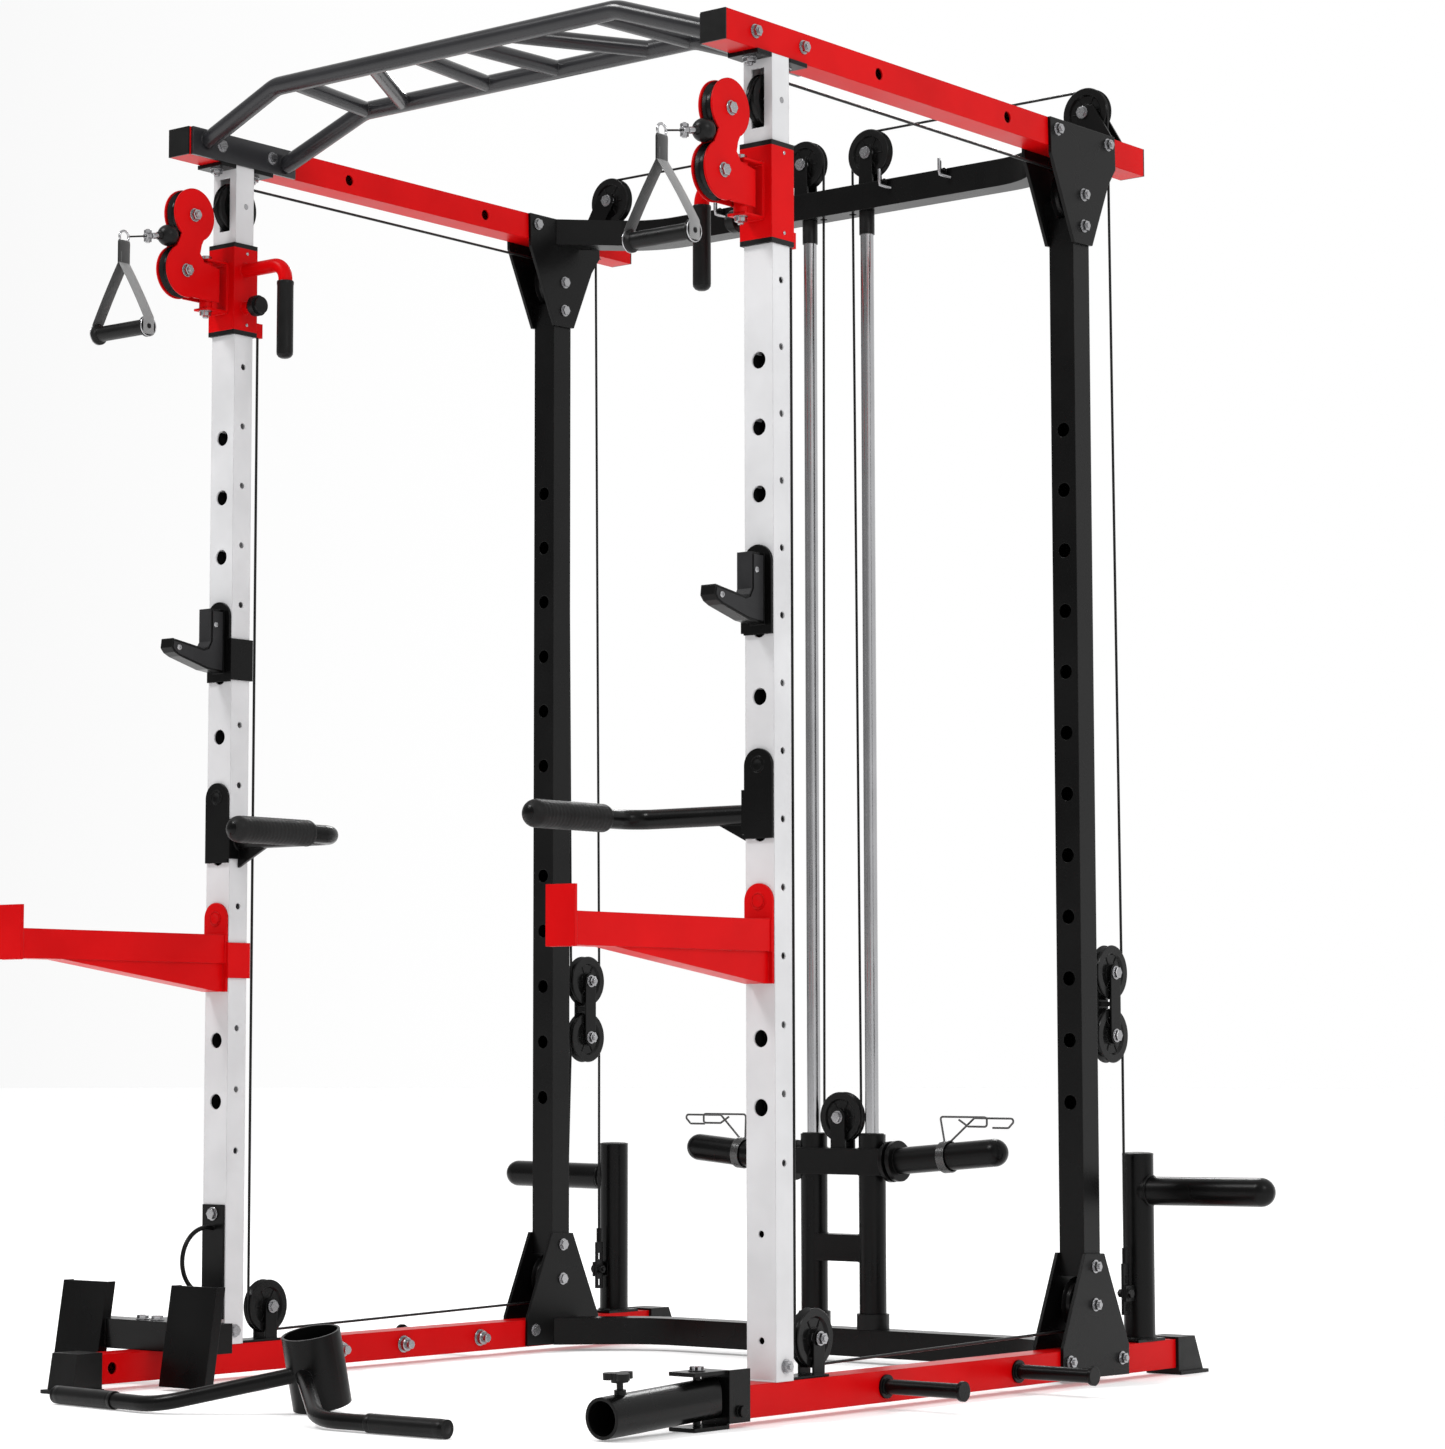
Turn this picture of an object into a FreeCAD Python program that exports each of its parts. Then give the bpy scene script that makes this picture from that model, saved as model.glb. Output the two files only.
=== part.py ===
"""Power cage with a cable crossover: frame, carriage, trolleys, pulleys and attachments.

Millimetres, +Z up, floor at Z 0. While the parts are built, X 0 is the middle of the machine
and Y 0 is the centre plane of the front uprights; +Y runs to the back. Every part is moved
back by ORIGIN_Y when it is saved, so that the origin is the bottom centre of the machine.
"""
import FreeCAD
import Part
import math
import os

V = FreeCAD.Vector

# Square tube stock and the hole pitch of the uprights
TUBE = 50.0
WALL = 3.0
PITCH = 106.7

# Side frames
RAIL_X = 603.0
BASE_BOTTOM = 12.0
BASE_TOP = BASE_BOTTOM + TUBE
BASE_REAR = 1143.0
BASE_FRONT_LEFT = -309.0
BASE_FRONT_RIGHT = -134.0
TOP_BOTTOM = 2146.0
TOP_TOP = TOP_BOTTOM + TUBE
TOP_FRONT = -134.0
TOP_REAR = 1085.0
FOOT_REAR = 1236.0

# Front uprights
UPRIGHT_W = 57.0
UPRIGHT_D = 44.0
BIG_HOLE_R = 13.5
REAR_HOLE_R = 12.5
BIG_HOLE_TOP = 1655.1
BIG_HOLE_COUNT = 12
SIDE_HOLE_R = 5.5
SIDE_HOLE_TOP = 1890.0
SIDE_HOLE_COUNT = 15
SLOT_W = 25.0
SLOT_Z = (2029.0, 2125.0)

# Rear uprights and gusset plates
REAR_Y = 875.5
REAR_BOTTOM = 184.0
REAR_TOP = 2032.0
PLATE = 6.0

# Cross members
CROSS_Y = 1006.0
CROSS_VERTEX_X = 449.4
CROSS_BEND_R = 165.0

# Pulleys
PULLEY_R = 46.5
FLOAT_PULLEY_R = 48.0
GROOVE_R = 40.0
PULLEY_W = 18.0
AXLE_R = 5.0
BORE_GAP = 0.05
WASHER = 1.6
CABLE_R = 2.4

# Pulley centres
TOP_PULLEY = (3.0, 2074.0)
GUSSET_PULLEY = (876.0, 2074.0)
FLOOR_PULLEY = (875.0, 136.0)
FRONT_PULLEY = (105.0, 121.6)
CROWN_PULLEY_X = RAIL_X - GROOVE_R - CABLE_R
CROSS_PULLEY_X = 76.4
CROWN_Z = 2256.0
CABLE_WAY_X = 34.5
FLOAT_Y = 977.0
FLOAT_UPPER_Z = 706.7
FLOAT_LOWER_Z = 596.9

# Carriage
ROD_X = 67.0
ROD_R = 12.5
CARRIAGE_PULLEY_Z = 448.0
SLEEVE_TILT = 5.0
SLEEVE_R = 25.0
SLEEVE_TIP_X = 365.0
PLATE_STOP = 150.0

# Plate storage
POST_Y = 1065.0
POST_R = 27.5
PEG_Z = 324.3
PEG_TILT = 0.6
PEG_ROOT_X = 635.5
PEG_TIP_X = 876.5

# Trolleys, swivels and pull handles
TROLLEY_Z = (1840.0, 2005.0)
TROLLEY_GAP = 0.4
SWIVEL_Y = -67.0
SWIVEL_TABS = ((1878.0, 1882.0), (1965.0, 1969.0))
ELBOW_X = 471.0
PIN_Z = 1890.0
LOWER_CABLE_Y = FRONT_PULLEY[0] - GROOVE_R - CABLE_R
ADJUSTER_TOP = 226.0
LOBE_UPPER = (-109.0, 2042.0)
LOBE_LOWER = (-127.0, 1940.0)
BALL = (-160.0, 1999.0)
RING = (-264.0, 1979.0)
PULL_GRIP_Z = 1814.0

# Attachments on the front uprights
HOOK_PIN_Z = BIG_HOLE_TOP - 3 * PITCH
DIP_PIN_Z = BIG_HOLE_TOP - 6 * PITCH
SPOTTER_PIN_Z = BIG_HOLE_TOP - 8 * PITCH
STRAP_GAP = 0.4
DIP_X = 329.0

# Landmine on the right base rail
LANDMINE_Y = -182.0
LANDMINE_Z = 44.0
LANDMINE_MOUTH = -405.0
LANDMINE_BORE = 26.0
LANDMINE_DROOP = 2.8
KNOB_Y = -361.0

# Loose T-bar handle, which sets the front edge of the whole
T_BAR_X = -30.0
T_BAR_Y = -337.6
T_BAR_Z = 14.5
T_BAR_REACH = 436.0
T_BAR_LEAN = 13.5
T_BAR_TURN = -1.6
HANDLE_FRONT = -549.9

ORIGIN_Y = (FOOT_REAR + HANDLE_FRONT) / 2


# ---------------------------------------------------------------- plain shapes
def box(x, y, z):
    """Box from three (low, high) pairs."""
    return Part.makeBox(x[1] - x[0], y[1] - y[0], z[1] - z[0], V(x[0], y[0], z[0]))


def cyl(start, end, radius):
    """Round bar between two points."""
    start, end = V(*start), V(*end)
    return Part.makeCylinder(radius, (end - start).Length, start, end - start)


def ring(start, end, radius, bore):
    """Round tube between two points."""
    return cyl(start, end, radius).cut(cyl(start, end, bore))


def plate_yz(points, x):
    """Flat plate with a (Y, Z) outline between two X values."""
    outline = [V(x[0], y, z) for y, z in points]
    return Part.Face(Part.makePolygon(outline + outline[:1])).extrude(V(x[1] - x[0], 0, 0))


def plate_xz(points, y):
    """Flat plate with an (X, Z) outline between two Y values."""
    outline = [V(x, y[0], z) for x, z in points]
    return Part.Face(Part.makePolygon(outline + outline[:1])).extrude(V(0, y[1] - y[0], 0))


def tab_xz(x, y, low, top):
    """Upright plate facing front, with a half-round top."""
    radius = (x[1] - x[0]) / 2
    middle = (x[0] + x[1]) / 2
    flat = box(x, y, (low, top - radius))
    return flat.fuse(cyl((middle, y[0], top - radius), (middle, y[1], top - radius), radius))


def square_tube(x, y, z, along):
    """Hollow square tube that runs along one axis and is open at both ends."""
    inner = []
    for axis, (low, high) in zip("XYZ", (x, y, z)):
        margin = 0 if axis == along else WALL
        inner.append((low + margin, high - margin))
    return box(x, y, z).cut(box(*inner))


def rounded(points, radius):
    """Wire of straight runs joined by tangent arcs."""
    points = [V(*point) for point in points]
    edges, start = [], points[0]
    for before, corner, after in zip(points, points[1:], points[2:]):
        into = (corner - before).normalize()
        out = (after - corner).normalize()
        half_turn = into.getAngle(out) / 2
        back = radius * math.tan(half_turn)
        first, last = corner - into * back, corner + out * back
        inward = (out - into).normalize()
        middle = corner + inward * (radius / math.cos(half_turn) - radius)
        edges.append(Part.LineSegment(start, first).toShape())
        edges.append(Part.Arc(first, middle, last).toShape())
        start = last
    edges.append(Part.LineSegment(start, points[-1]).toShape())
    return Part.Wire(edges)


def bent_rod(points, bend, radius):
    """Round bar along straight runs with rounded corners."""
    path = rounded(points, bend)
    heading = V(*points[1]) - V(*points[0])
    section = Part.Face(Part.Wire(Part.makeCircle(radius, V(*points[0]), heading)))
    return path.makePipe(section)


def round_end(point, radius):
    """Ball that closes the end of a bar."""
    return Part.makeSphere(radius, V(*point))


def joined(*shapes):
    """One solid from touching or overlapping shapes."""
    whole = shapes[0]
    for shape in shapes[1:]:
        whole = whole.fuse(shape)
    return whole.removeSplitter()


def drilled(shape, *holes):
    """The shape with each hole taken out of it."""
    for hole in holes:
        shape = shape.cut(hole)
    return shape


def flipped(shape):
    """The same shape on the other side of the machine."""
    return shape.mirror(V(0, 0, 0), V(1, 0, 0))


def both_sides(shapes):
    """Right-hand shapes with their left-hand copies."""
    return list(shapes) + [flipped(shape) for shape in shapes]


def hexagon(centre, along, reach, height):
    """Six-sided prism on a bolt axis."""
    side = along.cross(V(0, 0, 1))
    if side.Length < 0.1:
        side = V(1, 0, 0)
    side.normalize()
    across = along.cross(side)
    corners = []
    for index in range(6):
        angle = math.radians(60 * index)
        corners.append(centre + (side * math.cos(angle) + across * math.sin(angle)) * reach)
    return Part.Face(Part.makePolygon(corners + corners[:1])).extrude(along * height)


def bolt(start, end, radius=4.8, head=9.5):
    """Bolt with a hexagonal head at start, a nut at end and a washer under each."""
    start, end = V(*start), V(*end)
    along = (end - start).normalize()
    washers = [Part.makeCylinder(head * 1.2, WASHER, start, along * -1),
               Part.makeCylinder(head * 1.2, WASHER, end, along)]
    cap = hexagon(start - along * WASHER, along * -1, head, 5)
    nut = hexagon(end + along * WASHER, along, head, 7)
    shank = Part.makeCylinder(radius, (end - start).Length + 11.5, start, along)
    return joined(cap, *washers, shank, nut)


def hole_for(start, end, radius=5.0):
    """Clearance hole for a bolt, running past both its ends."""
    start, end = V(*start), V(*end)
    along = (end - start).normalize()
    return Part.makeCylinder(radius, (end - start).Length + 40, start - along * 20, along)


def pulley(centre, axis, radius=PULLEY_R):
    """Grooved cable wheel with a bored hub."""
    half = PULLEY_W / 2
    bore = AXLE_R + BORE_GAP
    profile = [(-10, bore), (10, bore), (10, 13), (5, 14), (5, 31), (half, 34), (half, radius - 1.5),
               (half - 1.5, radius), (3, GROOVE_R), (-3, GROOVE_R), (1.5 - half, radius),
               (-half, radius - 1.5), (-half, 34), (-5, 31), (-5, 14), (-10, 13)]
    points = [V(side, reach, 0) for side, reach in profile]
    wheel = Part.Face(Part.makePolygon(points + points[:1])).revolve(V(0, 0, 0), V(1, 0, 0), 360)
    if axis == "Y":
        wheel = wheel.rotate(V(0, 0, 0), V(0, 0, 1), 90)
    wheel = wheel.copy()
    wheel.translate(V(*centre))
    return wheel


def tight_line(stops, bend_plane):
    """Centre line of a tight cable round pulleys: straight tangents joined by arcs.

    Each stop is (across, up, radius, turn); turn is 1 where the cable turns left, -1 right.
    bend_plane maps (across, up) to a point in space.
    """
    headings = []
    for (u1, v1, r1, t1), (u2, v2, r2, t2) in zip(stops, stops[1:]):
        reach = math.hypot(u2 - u1, v2 - v1)
        headings.append(math.atan2(v2 - v1, u2 - u1) + math.asin((t1 * r1 - t2 * r2) / reach))

    def touch(stop, heading):
        u, v, radius, turn = stop
        return bend_plane(u + turn * radius * math.sin(heading), v - turn * radius * math.cos(heading))

    edges = []
    for index, heading in enumerate(headings):
        leave = touch(stops[index], heading)
        arrive = touch(stops[index + 1], heading)
        edges.append(Part.LineSegment(leave, arrive).toShape())
        if index + 1 < len(headings):
            turn = stops[index + 1][3]
            sweep = (headings[index + 1] - heading) * turn % (2 * math.pi)
            middle = touch(stops[index + 1], heading + turn * sweep / 2)
            end = touch(stops[index + 1], heading + turn * sweep)
            edges.append(Part.Arc(arrive, middle, end).toShape())
    return edges


def cable(stops, bend_plane):
    """Steel cable along a tight line."""
    edges = tight_line(stops, bend_plane)
    start = edges[0].Vertexes[0].Point
    heading = edges[0].Vertexes[1].Point - start
    section = Part.Face(Part.Wire(Part.makeCircle(CABLE_R, start, heading)))
    return Part.Wire(edges).makePipe(section)


# ---------------------------------------------------------------- bolt places
GUSSET_BOLTS = [(795.0, 2177.0), (956.5, 2178.6), (875.5, 2018.0), GUSSET_PULLEY]
FLOOR_BOLTS = [(876.0, 201.0), (795.0, 43.0), (958.0, 41.0), FLOOR_PULLEY]
GRIP_X = (RAIL_X - TUBE / 2 - PLATE, RAIL_X + TUBE / 2 + PLATE)
UPRIGHT_X = (RAIL_X - UPRIGHT_W / 2, RAIL_X + UPRIGHT_W / 2)


def cross_bolt(y, z, x, radius=4.8):
    """Right-hand bolt along X with its nut on the outer face."""
    return (x[0], y, z), (x[1], y, z), radius


def frame_bolt_places():
    """Start, end and shank radius of every bolt on the right-hand side."""
    places = [cross_bolt(y, z, GRIP_X) for y, z in GUSSET_BOLTS[:3] + FLOOR_BOLTS[:3]]
    places += [cross_bolt(y, z, GRIP_X, AXLE_R) for y, z in (GUSSET_PULLEY, FLOOR_PULLEY)]
    rail = (RAIL_X - TUBE / 2 - PLATE, RAIL_X + TUBE / 2)
    places += [cross_bolt(y, 2173.0, rail) for y in (-61.0, 65.0)]
    places.append(cross_bolt(2.0, 85.0, UPRIGHT_X))
    fork = (RAIL_X - 18, RAIL_X + 18)
    places.append(cross_bolt(FRONT_PULLEY[0], FRONT_PULLEY[1], fork, AXLE_R))
    return places


def frame_bolts():
    """Bolts and pulley axles of the frame."""
    bolts = both_sides([bolt(start, end, radius) for start, end, radius in frame_bolt_places()])
    bolts += both_sides([top_pulley_pin(AXLE_R)])
    for x in (CROSS_PULLEY_X, CROWN_PULLEY_X):
        axle = bolt((x, CROSS_Y_FORK[0], CROWN_Z), (x, CROSS_Y_FORK[1], CROWN_Z), AXLE_R)
        bolts += both_sides([axle])
    return bolts


def top_pulley_pin(radius):
    """Axle of the top pulley, flush with both faces of the upright."""
    return cyl((UPRIGHT_X[0], *TOP_PULLEY), (UPRIGHT_X[1], *TOP_PULLEY), radius)


def holes_on_side():
    """Clearance holes of the right-hand frame bolts and of the top pulley's pin."""
    holes = [hole_for(start, end, radius + 0.2) for start, end, radius in frame_bolt_places()]
    return holes + [top_pulley_pin(AXLE_R + 0.2)]


# ---------------------------------------------------------------- frame
def base_rails():
    """Two long square tubes on the floor; the left one carries the foot plate in front."""
    x = (RAIL_X - TUBE / 2, RAIL_X + TUBE / 2)
    z = (BASE_BOTTOM, BASE_TOP)
    peg_holes = [hole_for((580, y, 37), (620, y, 37), 5.2) for y in (269.0, 644.5)]
    holes = holes_on_side() + peg_holes
    right = drilled(square_tube(x, (BASE_FRONT_RIGHT, BASE_REAR), z, "Y"), *holes)
    left = drilled(square_tube(x, (BASE_FRONT_LEFT, BASE_REAR), z, "Y"), *holes)
    left = left.cut(cyl((RAIL_X - 30, -281, 38), (RAIL_X - 20, -281, 38), 10))
    return [right, flipped(left)]


def top_rails():
    """Two long square tubes at the top, with a passage for the rear cable."""
    x = (RAIL_X - TUBE / 2, RAIL_X + TUBE / 2)
    rail = square_tube(x, (TOP_FRONT, TOP_REAR), (TOP_BOTTOM, TOP_TOP), "Y")
    cable_way = cyl((CROWN_PULLEY_X + GROOVE_R, CROSS_Y, TOP_BOTTOM - 5),
                    (CROWN_PULLEY_X + GROOVE_R, CROSS_Y, TOP_TOP + 5), 9)
    side_holes = [cyl((570, y, 2171), (640, y, 2171), 10) for y in (272.0, 648.0)]
    return both_sides([drilled(rail, cable_way, *side_holes, *holes_on_side())])


def shoe(x, y_rail, y_top, y_bottom, y_edge):
    """Sloping end shoe with a floor flange; it closes the end of a base rail."""
    low, high = sorted((y_rail, y_edge))
    body = plate_yz([(y_rail, 0), (y_rail, 66), (y_top, 66), (y_bottom, 6), (y_bottom, 0)],
                    (x - 31, x + 31))
    return joined(body, box((x - 36, x + 36), (low, high), (0, 6)))


def rail_shoes():
    """Rear shoes of both base rails and the front shoe of the left one."""
    rear = shoe(RAIL_X, BASE_REAR, 1198, 1225, FOOT_REAR)
    front = shoe(-RAIL_X, BASE_FRONT_LEFT, -365, -375, -386)
    return both_sides([rear]) + [front]


def tube_caps():
    """Plastic caps on the ends of the top rails."""
    x = (RAIL_X - TUBE / 2, RAIL_X + TUBE / 2)
    z = (TOP_BOTTOM, TOP_TOP)
    inner = (x[0] + WALL + 0.3, x[1] - WALL - 0.3)
    plug_z = (z[0] + WALL + 0.3, z[1] - WALL - 0.3)
    front = joined(box(x, (TOP_FRONT - 3, TOP_FRONT), z), box(inner, (TOP_FRONT, TOP_FRONT + 14), plug_z))
    rear = joined(box(x, (TOP_REAR, TOP_REAR + 3), z), box(inner, (TOP_REAR - 14, TOP_REAR), plug_z))
    return both_sides([front, rear])


def front_uprights():
    """Punched front uprights: large holes to the front, small ones to the side."""
    x = (RAIL_X - UPRIGHT_W / 2, RAIL_X + UPRIGHT_W / 2)
    y = (-UPRIGHT_D / 2, UPRIGHT_D / 2)
    post = square_tube(x, y, (BASE_TOP, TOP_BOTTOM), "Z")
    cuts = [box((RAIL_X - SLOT_W / 2, RAIL_X + SLOT_W / 2), (-40, 40), SLOT_Z)]
    for index in range(BIG_HOLE_COUNT):
        z = BIG_HOLE_TOP - index * PITCH
        cuts.append(cyl((RAIL_X, -40, z), (RAIL_X, 40, z), BIG_HOLE_R))
    for index in range(SIDE_HOLE_COUNT):
        z = SIDE_HOLE_TOP - index * PITCH
        cuts.append(cyl((x[0] - 10, 0, z), (x[1] + 10, 0, z), SIDE_HOLE_R))
    for z in (287.0, 124.0):
        cuts.append(cyl((RAIL_X, -40, z), (RAIL_X, 0, z), SIDE_HOLE_R))
    return both_sides([drilled(post, *cuts, *holes_on_side())])


def rear_uprights():
    """Square rear uprights between the gusset plates."""
    x = (RAIL_X - TUBE / 2, RAIL_X + TUBE / 2)
    y = (REAR_Y - TUBE / 2, REAR_Y + TUBE / 2)
    post = square_tube(x, y, (REAR_BOTTOM, REAR_TOP), "Z")
    cuts = []
    for index in range(BIG_HOLE_COUNT):
        z = BIG_HOLE_TOP - index * PITCH
        cuts.append(cyl((RAIL_X, y[0] - 10, z), (RAIL_X, y[0] + 10, z), REAR_HOLE_R))
    return both_sides([drilled(post, *cuts, *holes_on_side())])


def gusset_plates():
    """Plates on both faces of each side frame, at the top and bottom of the rear uprights."""
    top = [(773, 2196), (980, 2197), (982, 2138), (958, 2106), (903.5, 1987), (845.5, 1985), (775, 2132)]
    floor = [(845, 224), (905, 222), (981, 62), (980, 12), (773, 14), (774, 67)]
    faces = ((RAIL_X + TUBE / 2, GRIP_X[1]), (GRIP_X[0], RAIL_X - TUBE / 2))
    plates = [plate_yz(outline, face) for outline in (top, floor) for face in faces]
    return both_sides([drilled(plate, *holes_on_side()) for plate in plates])


def crossmember(z):
    """Square tube across the back, bent forwards at 45 degrees to the gusset plates."""
    reach = 200.0
    path = [(-CROSS_VERTEX_X - reach, CROSS_Y - reach, z), (-CROSS_VERTEX_X, CROSS_Y, z),
            (CROSS_VERTEX_X, CROSS_Y, z), (CROSS_VERTEX_X + reach, CROSS_Y - reach, z)]
    heading = (V(*path[1]) - V(*path[0])).normalize()
    side = heading.cross(V(0, 0, 1))
    up = V(0, 0, 1)
    bars = []
    for half in (TUBE / 2, TUBE / 2 - WALL):
        signs = ((-1, -1), (1, -1), (1, 1), (-1, 1))
        corners = [V(*path[0]) + side * a * half + up * b * half for a, b in signs]
        section = Part.Face(Part.makePolygon(corners + corners[:1]))
        bars.append(rounded(path, CROSS_BEND_R).makePipe(section))
    inside = box((-GRIP_X[0], GRIP_X[0]), (700, 1100), (z - 60, z + 60))
    return bars[0].cut(bars[1]).common(inside)


def crossmembers():
    """Upper and lower cross members; the upper one has holes for its cable hooks."""
    upper = crossmember((TOP_BOTTOM + TOP_TOP) / 2)
    ways = [cyl((side * CABLE_WAY_X, CROSS_Y, TOP_BOTTOM - 5), (side * CABLE_WAY_X, CROSS_Y, TOP_TOP + 5), 7)
            for side in (-1, 1)]
    upper = drilled(upper, *ways)
    lower = crossmember((BASE_BOTTOM + BASE_TOP) / 2)
    return [upper, lower]


def pull_up_bar():
    """Cranked front and rear tubes joined by slanting rungs."""
    front_end, front_bend = (572, -94, 2176), (386, -112, 2240)
    rear_end, rear_bend = (572, 101, 2167), (378, 101, 2236)
    front_mirror = [(-front_bend[0], *front_bend[1:]), (-front_end[0], *front_end[1:])]
    front = bent_rod([front_end, front_bend, *front_mirror],
                     70, 16)
    rear_mirror = [(-rear_bend[0], *rear_bend[1:]), (-rear_end[0], *rear_end[1:])]
    rear = bent_rod([rear_end, rear_bend, *rear_mirror], 70, 16)
    rungs = []
    for front_x, rear_x in ((340, 368), (155, 283), (57, 80)):
        for side in (-1, 1):
            rungs.append(cyl((side * front_x, -112, 2239), (side * rear_x, 101, 2236), 14))
    bar = joined(front, rear, *rungs)
    return [bar.common(box((-572, 572), (-200, 200), (2100, 2300)))]


def pull_up_plates():
    """Plates that carry the pull-up bar on the inner faces of the top rails."""
    plate = box((572, 578), (-131, 125), (TOP_BOTTOM, TOP_TOP))
    return both_sides([drilled(plate, *holes_on_side())])


def guide_rods():
    """Chrome rods that the carriage runs on."""
    rod = cyl((ROD_X, CROSS_Y, BASE_TOP), (ROD_X, CROSS_Y, TOP_BOTTOM), ROD_R)
    return both_sides([rod])


def rod_stops():
    """Top collars and rubber bumpers around the guide rods."""
    collar = ring((ROD_X, CROSS_Y, 2103), (ROD_X, CROSS_Y, TOP_BOTTOM), 14.5, ROD_R + 0.05)
    bumper = ring((ROD_X, CROSS_Y, BASE_TOP), (ROD_X, CROSS_Y, 89.7), 30, ROD_R + 0.05)
    return both_sides([collar, bumper])


def peg_point(x):
    """Point on the axis of the right storage peg, which rises slightly outwards."""
    return (x, POST_Y, PEG_Z + (x - RAIL_X) * math.tan(math.radians(PEG_TILT)))


def storage_posts():
    """Upright posts on the base rails, each with a peg for spare plates."""
    post = cyl((RAIL_X, POST_Y, BASE_TOP + 5), (RAIL_X, POST_Y, 388), POST_R)
    flange = box((RAIL_X - 25, RAIL_X + 25), (POST_Y - 44, POST_Y + 44), (BASE_TOP, BASE_TOP + 5))
    peg_root = peg_point(PEG_ROOT_X)
    peg_end = peg_point(PEG_TIP_X - SLEEVE_R)
    peg = joined(cyl((RAIL_X, POST_Y, PEG_Z), peg_root, SLEEVE_R - 0.4),
                 cyl(peg_root, peg_end, SLEEVE_R), round_end(peg_end, SLEEVE_R))
    return both_sides([joined(post, flange, peg)])


def band_pegs():
    """Pegs for stretch bands on the outer faces of the base rails."""
    pegs = []
    for y in (269.0, 644.5):
        outer = RAIL_X + TUBE / 2
        peg = joined(cyl((outer, y, 37), (outer + 4, y, 37), 19),
                     cyl((outer, y, 37), (outer + 150, y, 37), 12),
                     cyl((outer + 146, y, 37), (outer + 152, y, 37), 16),
                     cyl((RAIL_X - TUBE / 2 - 11, y, 37), (outer, y, 37), 5),
                     cyl((RAIL_X - TUBE / 2 - 8, y, 37), (RAIL_X - TUBE / 2, y, 37), 9))
        pegs.append(peg)
    return both_sides(pegs)


# ---------------------------------------------------------------- cable hardware
CROSS_Y_FORK = (CROSS_Y - 17, CROSS_Y + 15)


def crown_forks():
    """Forks above the upper cross member and above the top rails."""
    forks = []
    for y in ((CROSS_Y - 17, CROSS_Y - 13), (CROSS_Y + 11, CROSS_Y + 15)):
        centre = [(CROSS_PULLEY_X - 16, TOP_TOP), (CROSS_PULLEY_X + 16, TOP_TOP),
                  (CROSS_PULLEY_X + 13, CROWN_Z + 12), (CROSS_PULLEY_X - 13, CROWN_Z + 12)]
        side = [(578, TOP_TOP), (625, TOP_TOP), (582, CROWN_Z + 12), (CROWN_PULLEY_X - 13, CROWN_Z + 12),
                (CROWN_PULLEY_X - 13, CROWN_Z - 13)]
        for outline, x in ((centre, CROSS_PULLEY_X), (side, CROWN_PULLEY_X)):
            bore = cyl((x, y[0] - 1, CROWN_Z), (x, y[1] + 1, CROWN_Z), AXLE_R + 0.2)
            forks.append(plate_xz(outline, y).cut(bore))
    return both_sides(forks)


def front_pulley_forks():
    """Forks behind the front uprights that hold the floor pulleys."""
    y, z = FRONT_PULLEY
    x = (RAIL_X + 12, RAIL_X + 16)
    cheek = joined(box(x, (y - 14, y + 14), (BASE_TOP + 4, z)), cyl((x[0], y, z), (x[1], y, z), 14))
    other = cheek.copy()
    other.translate(V(-28, 0, 0))
    base = box((RAIL_X - 22, RAIL_X + 22), (26, 122), (BASE_TOP, BASE_TOP + 4))
    fork = joined(base, cheek, other)
    return both_sides([drilled(fork, *holes_on_side())])


def rail_nut_plates():
    """Pads between the front uprights and the top rails, with the swivel stop tab."""
    bottom = TOP_BOTTOM - 7
    pad = box((RAIL_X - 30, RAIL_X + 30), (-61, -24), (bottom, TOP_BOTTOM))
    rear = box((RAIL_X - 30, RAIL_X + 30), (24, 69), (bottom, TOP_BOTTOM))
    return both_sides([pad, rear])


def cable_hooks():
    """Small wire hooks along the front of the upper cross member."""
    hooks = []
    front = CROSS_Y - TUBE / 2
    for x in (128.0, 264.0):
        path = [(x, front, 2190), (x, front - 16, 2190), (x, front - 16, 2206)]
        hook = joined(bent_rod(path, 6, 3), round_end(path[-1], 3),
                      cyl((x, front - 4, 2190), (x, front, 2190), 7))
        hooks.append(hook)
    return both_sides(hooks)


def chain_adjusters():
    """Slotted strips at the storage posts that set the length of the lower cables."""
    y = FLOAT_Y + GROOVE_R + CABLE_R
    strip = box((RAIL_X - 2.5, RAIL_X + 2.5), (y - 9, y + 9), (110, 199))
    slots = [box((RAIL_X - 5, RAIL_X + 5), (y - 4, y + 4), (z - 6, z + 6)) for z in (122, 172)]
    strip = drilled(strip, *slots)
    lug = box((RAIL_X + 3, RAIL_X + 8), (y - 10, POST_Y - POST_R - 1), (133, 161))
    tie = box((RAIL_X - 8, RAIL_X + 8), (POST_Y - POST_R - 1.5, POST_Y - POST_R - 0.2), (133, 161))
    pin = bolt((RAIL_X + 8, y, 147), (RAIL_X - 2.5, y, 147), 4, 8)
    way = cyl((RAIL_X - 20, y, 147), (RAIL_X + 20, y, 147), 4.2)
    socket = cyl((RAIL_X, y, 199.2), (RAIL_X, y, 226), 5)
    shackle = box((RAIL_X - 2.5, RAIL_X + 2.5), (y - 7, y + 7), (196, 199.2))
    return both_sides([drilled(joined(strip, shackle, socket), way), joined(lug, tie).cut(way), pin])


def cable_hardware():
    """Small steel parts that guide and anchor the cables."""
    return crown_forks() + front_pulley_forks() + rail_nut_plates() + cable_hooks() + chain_adjusters()


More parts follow.
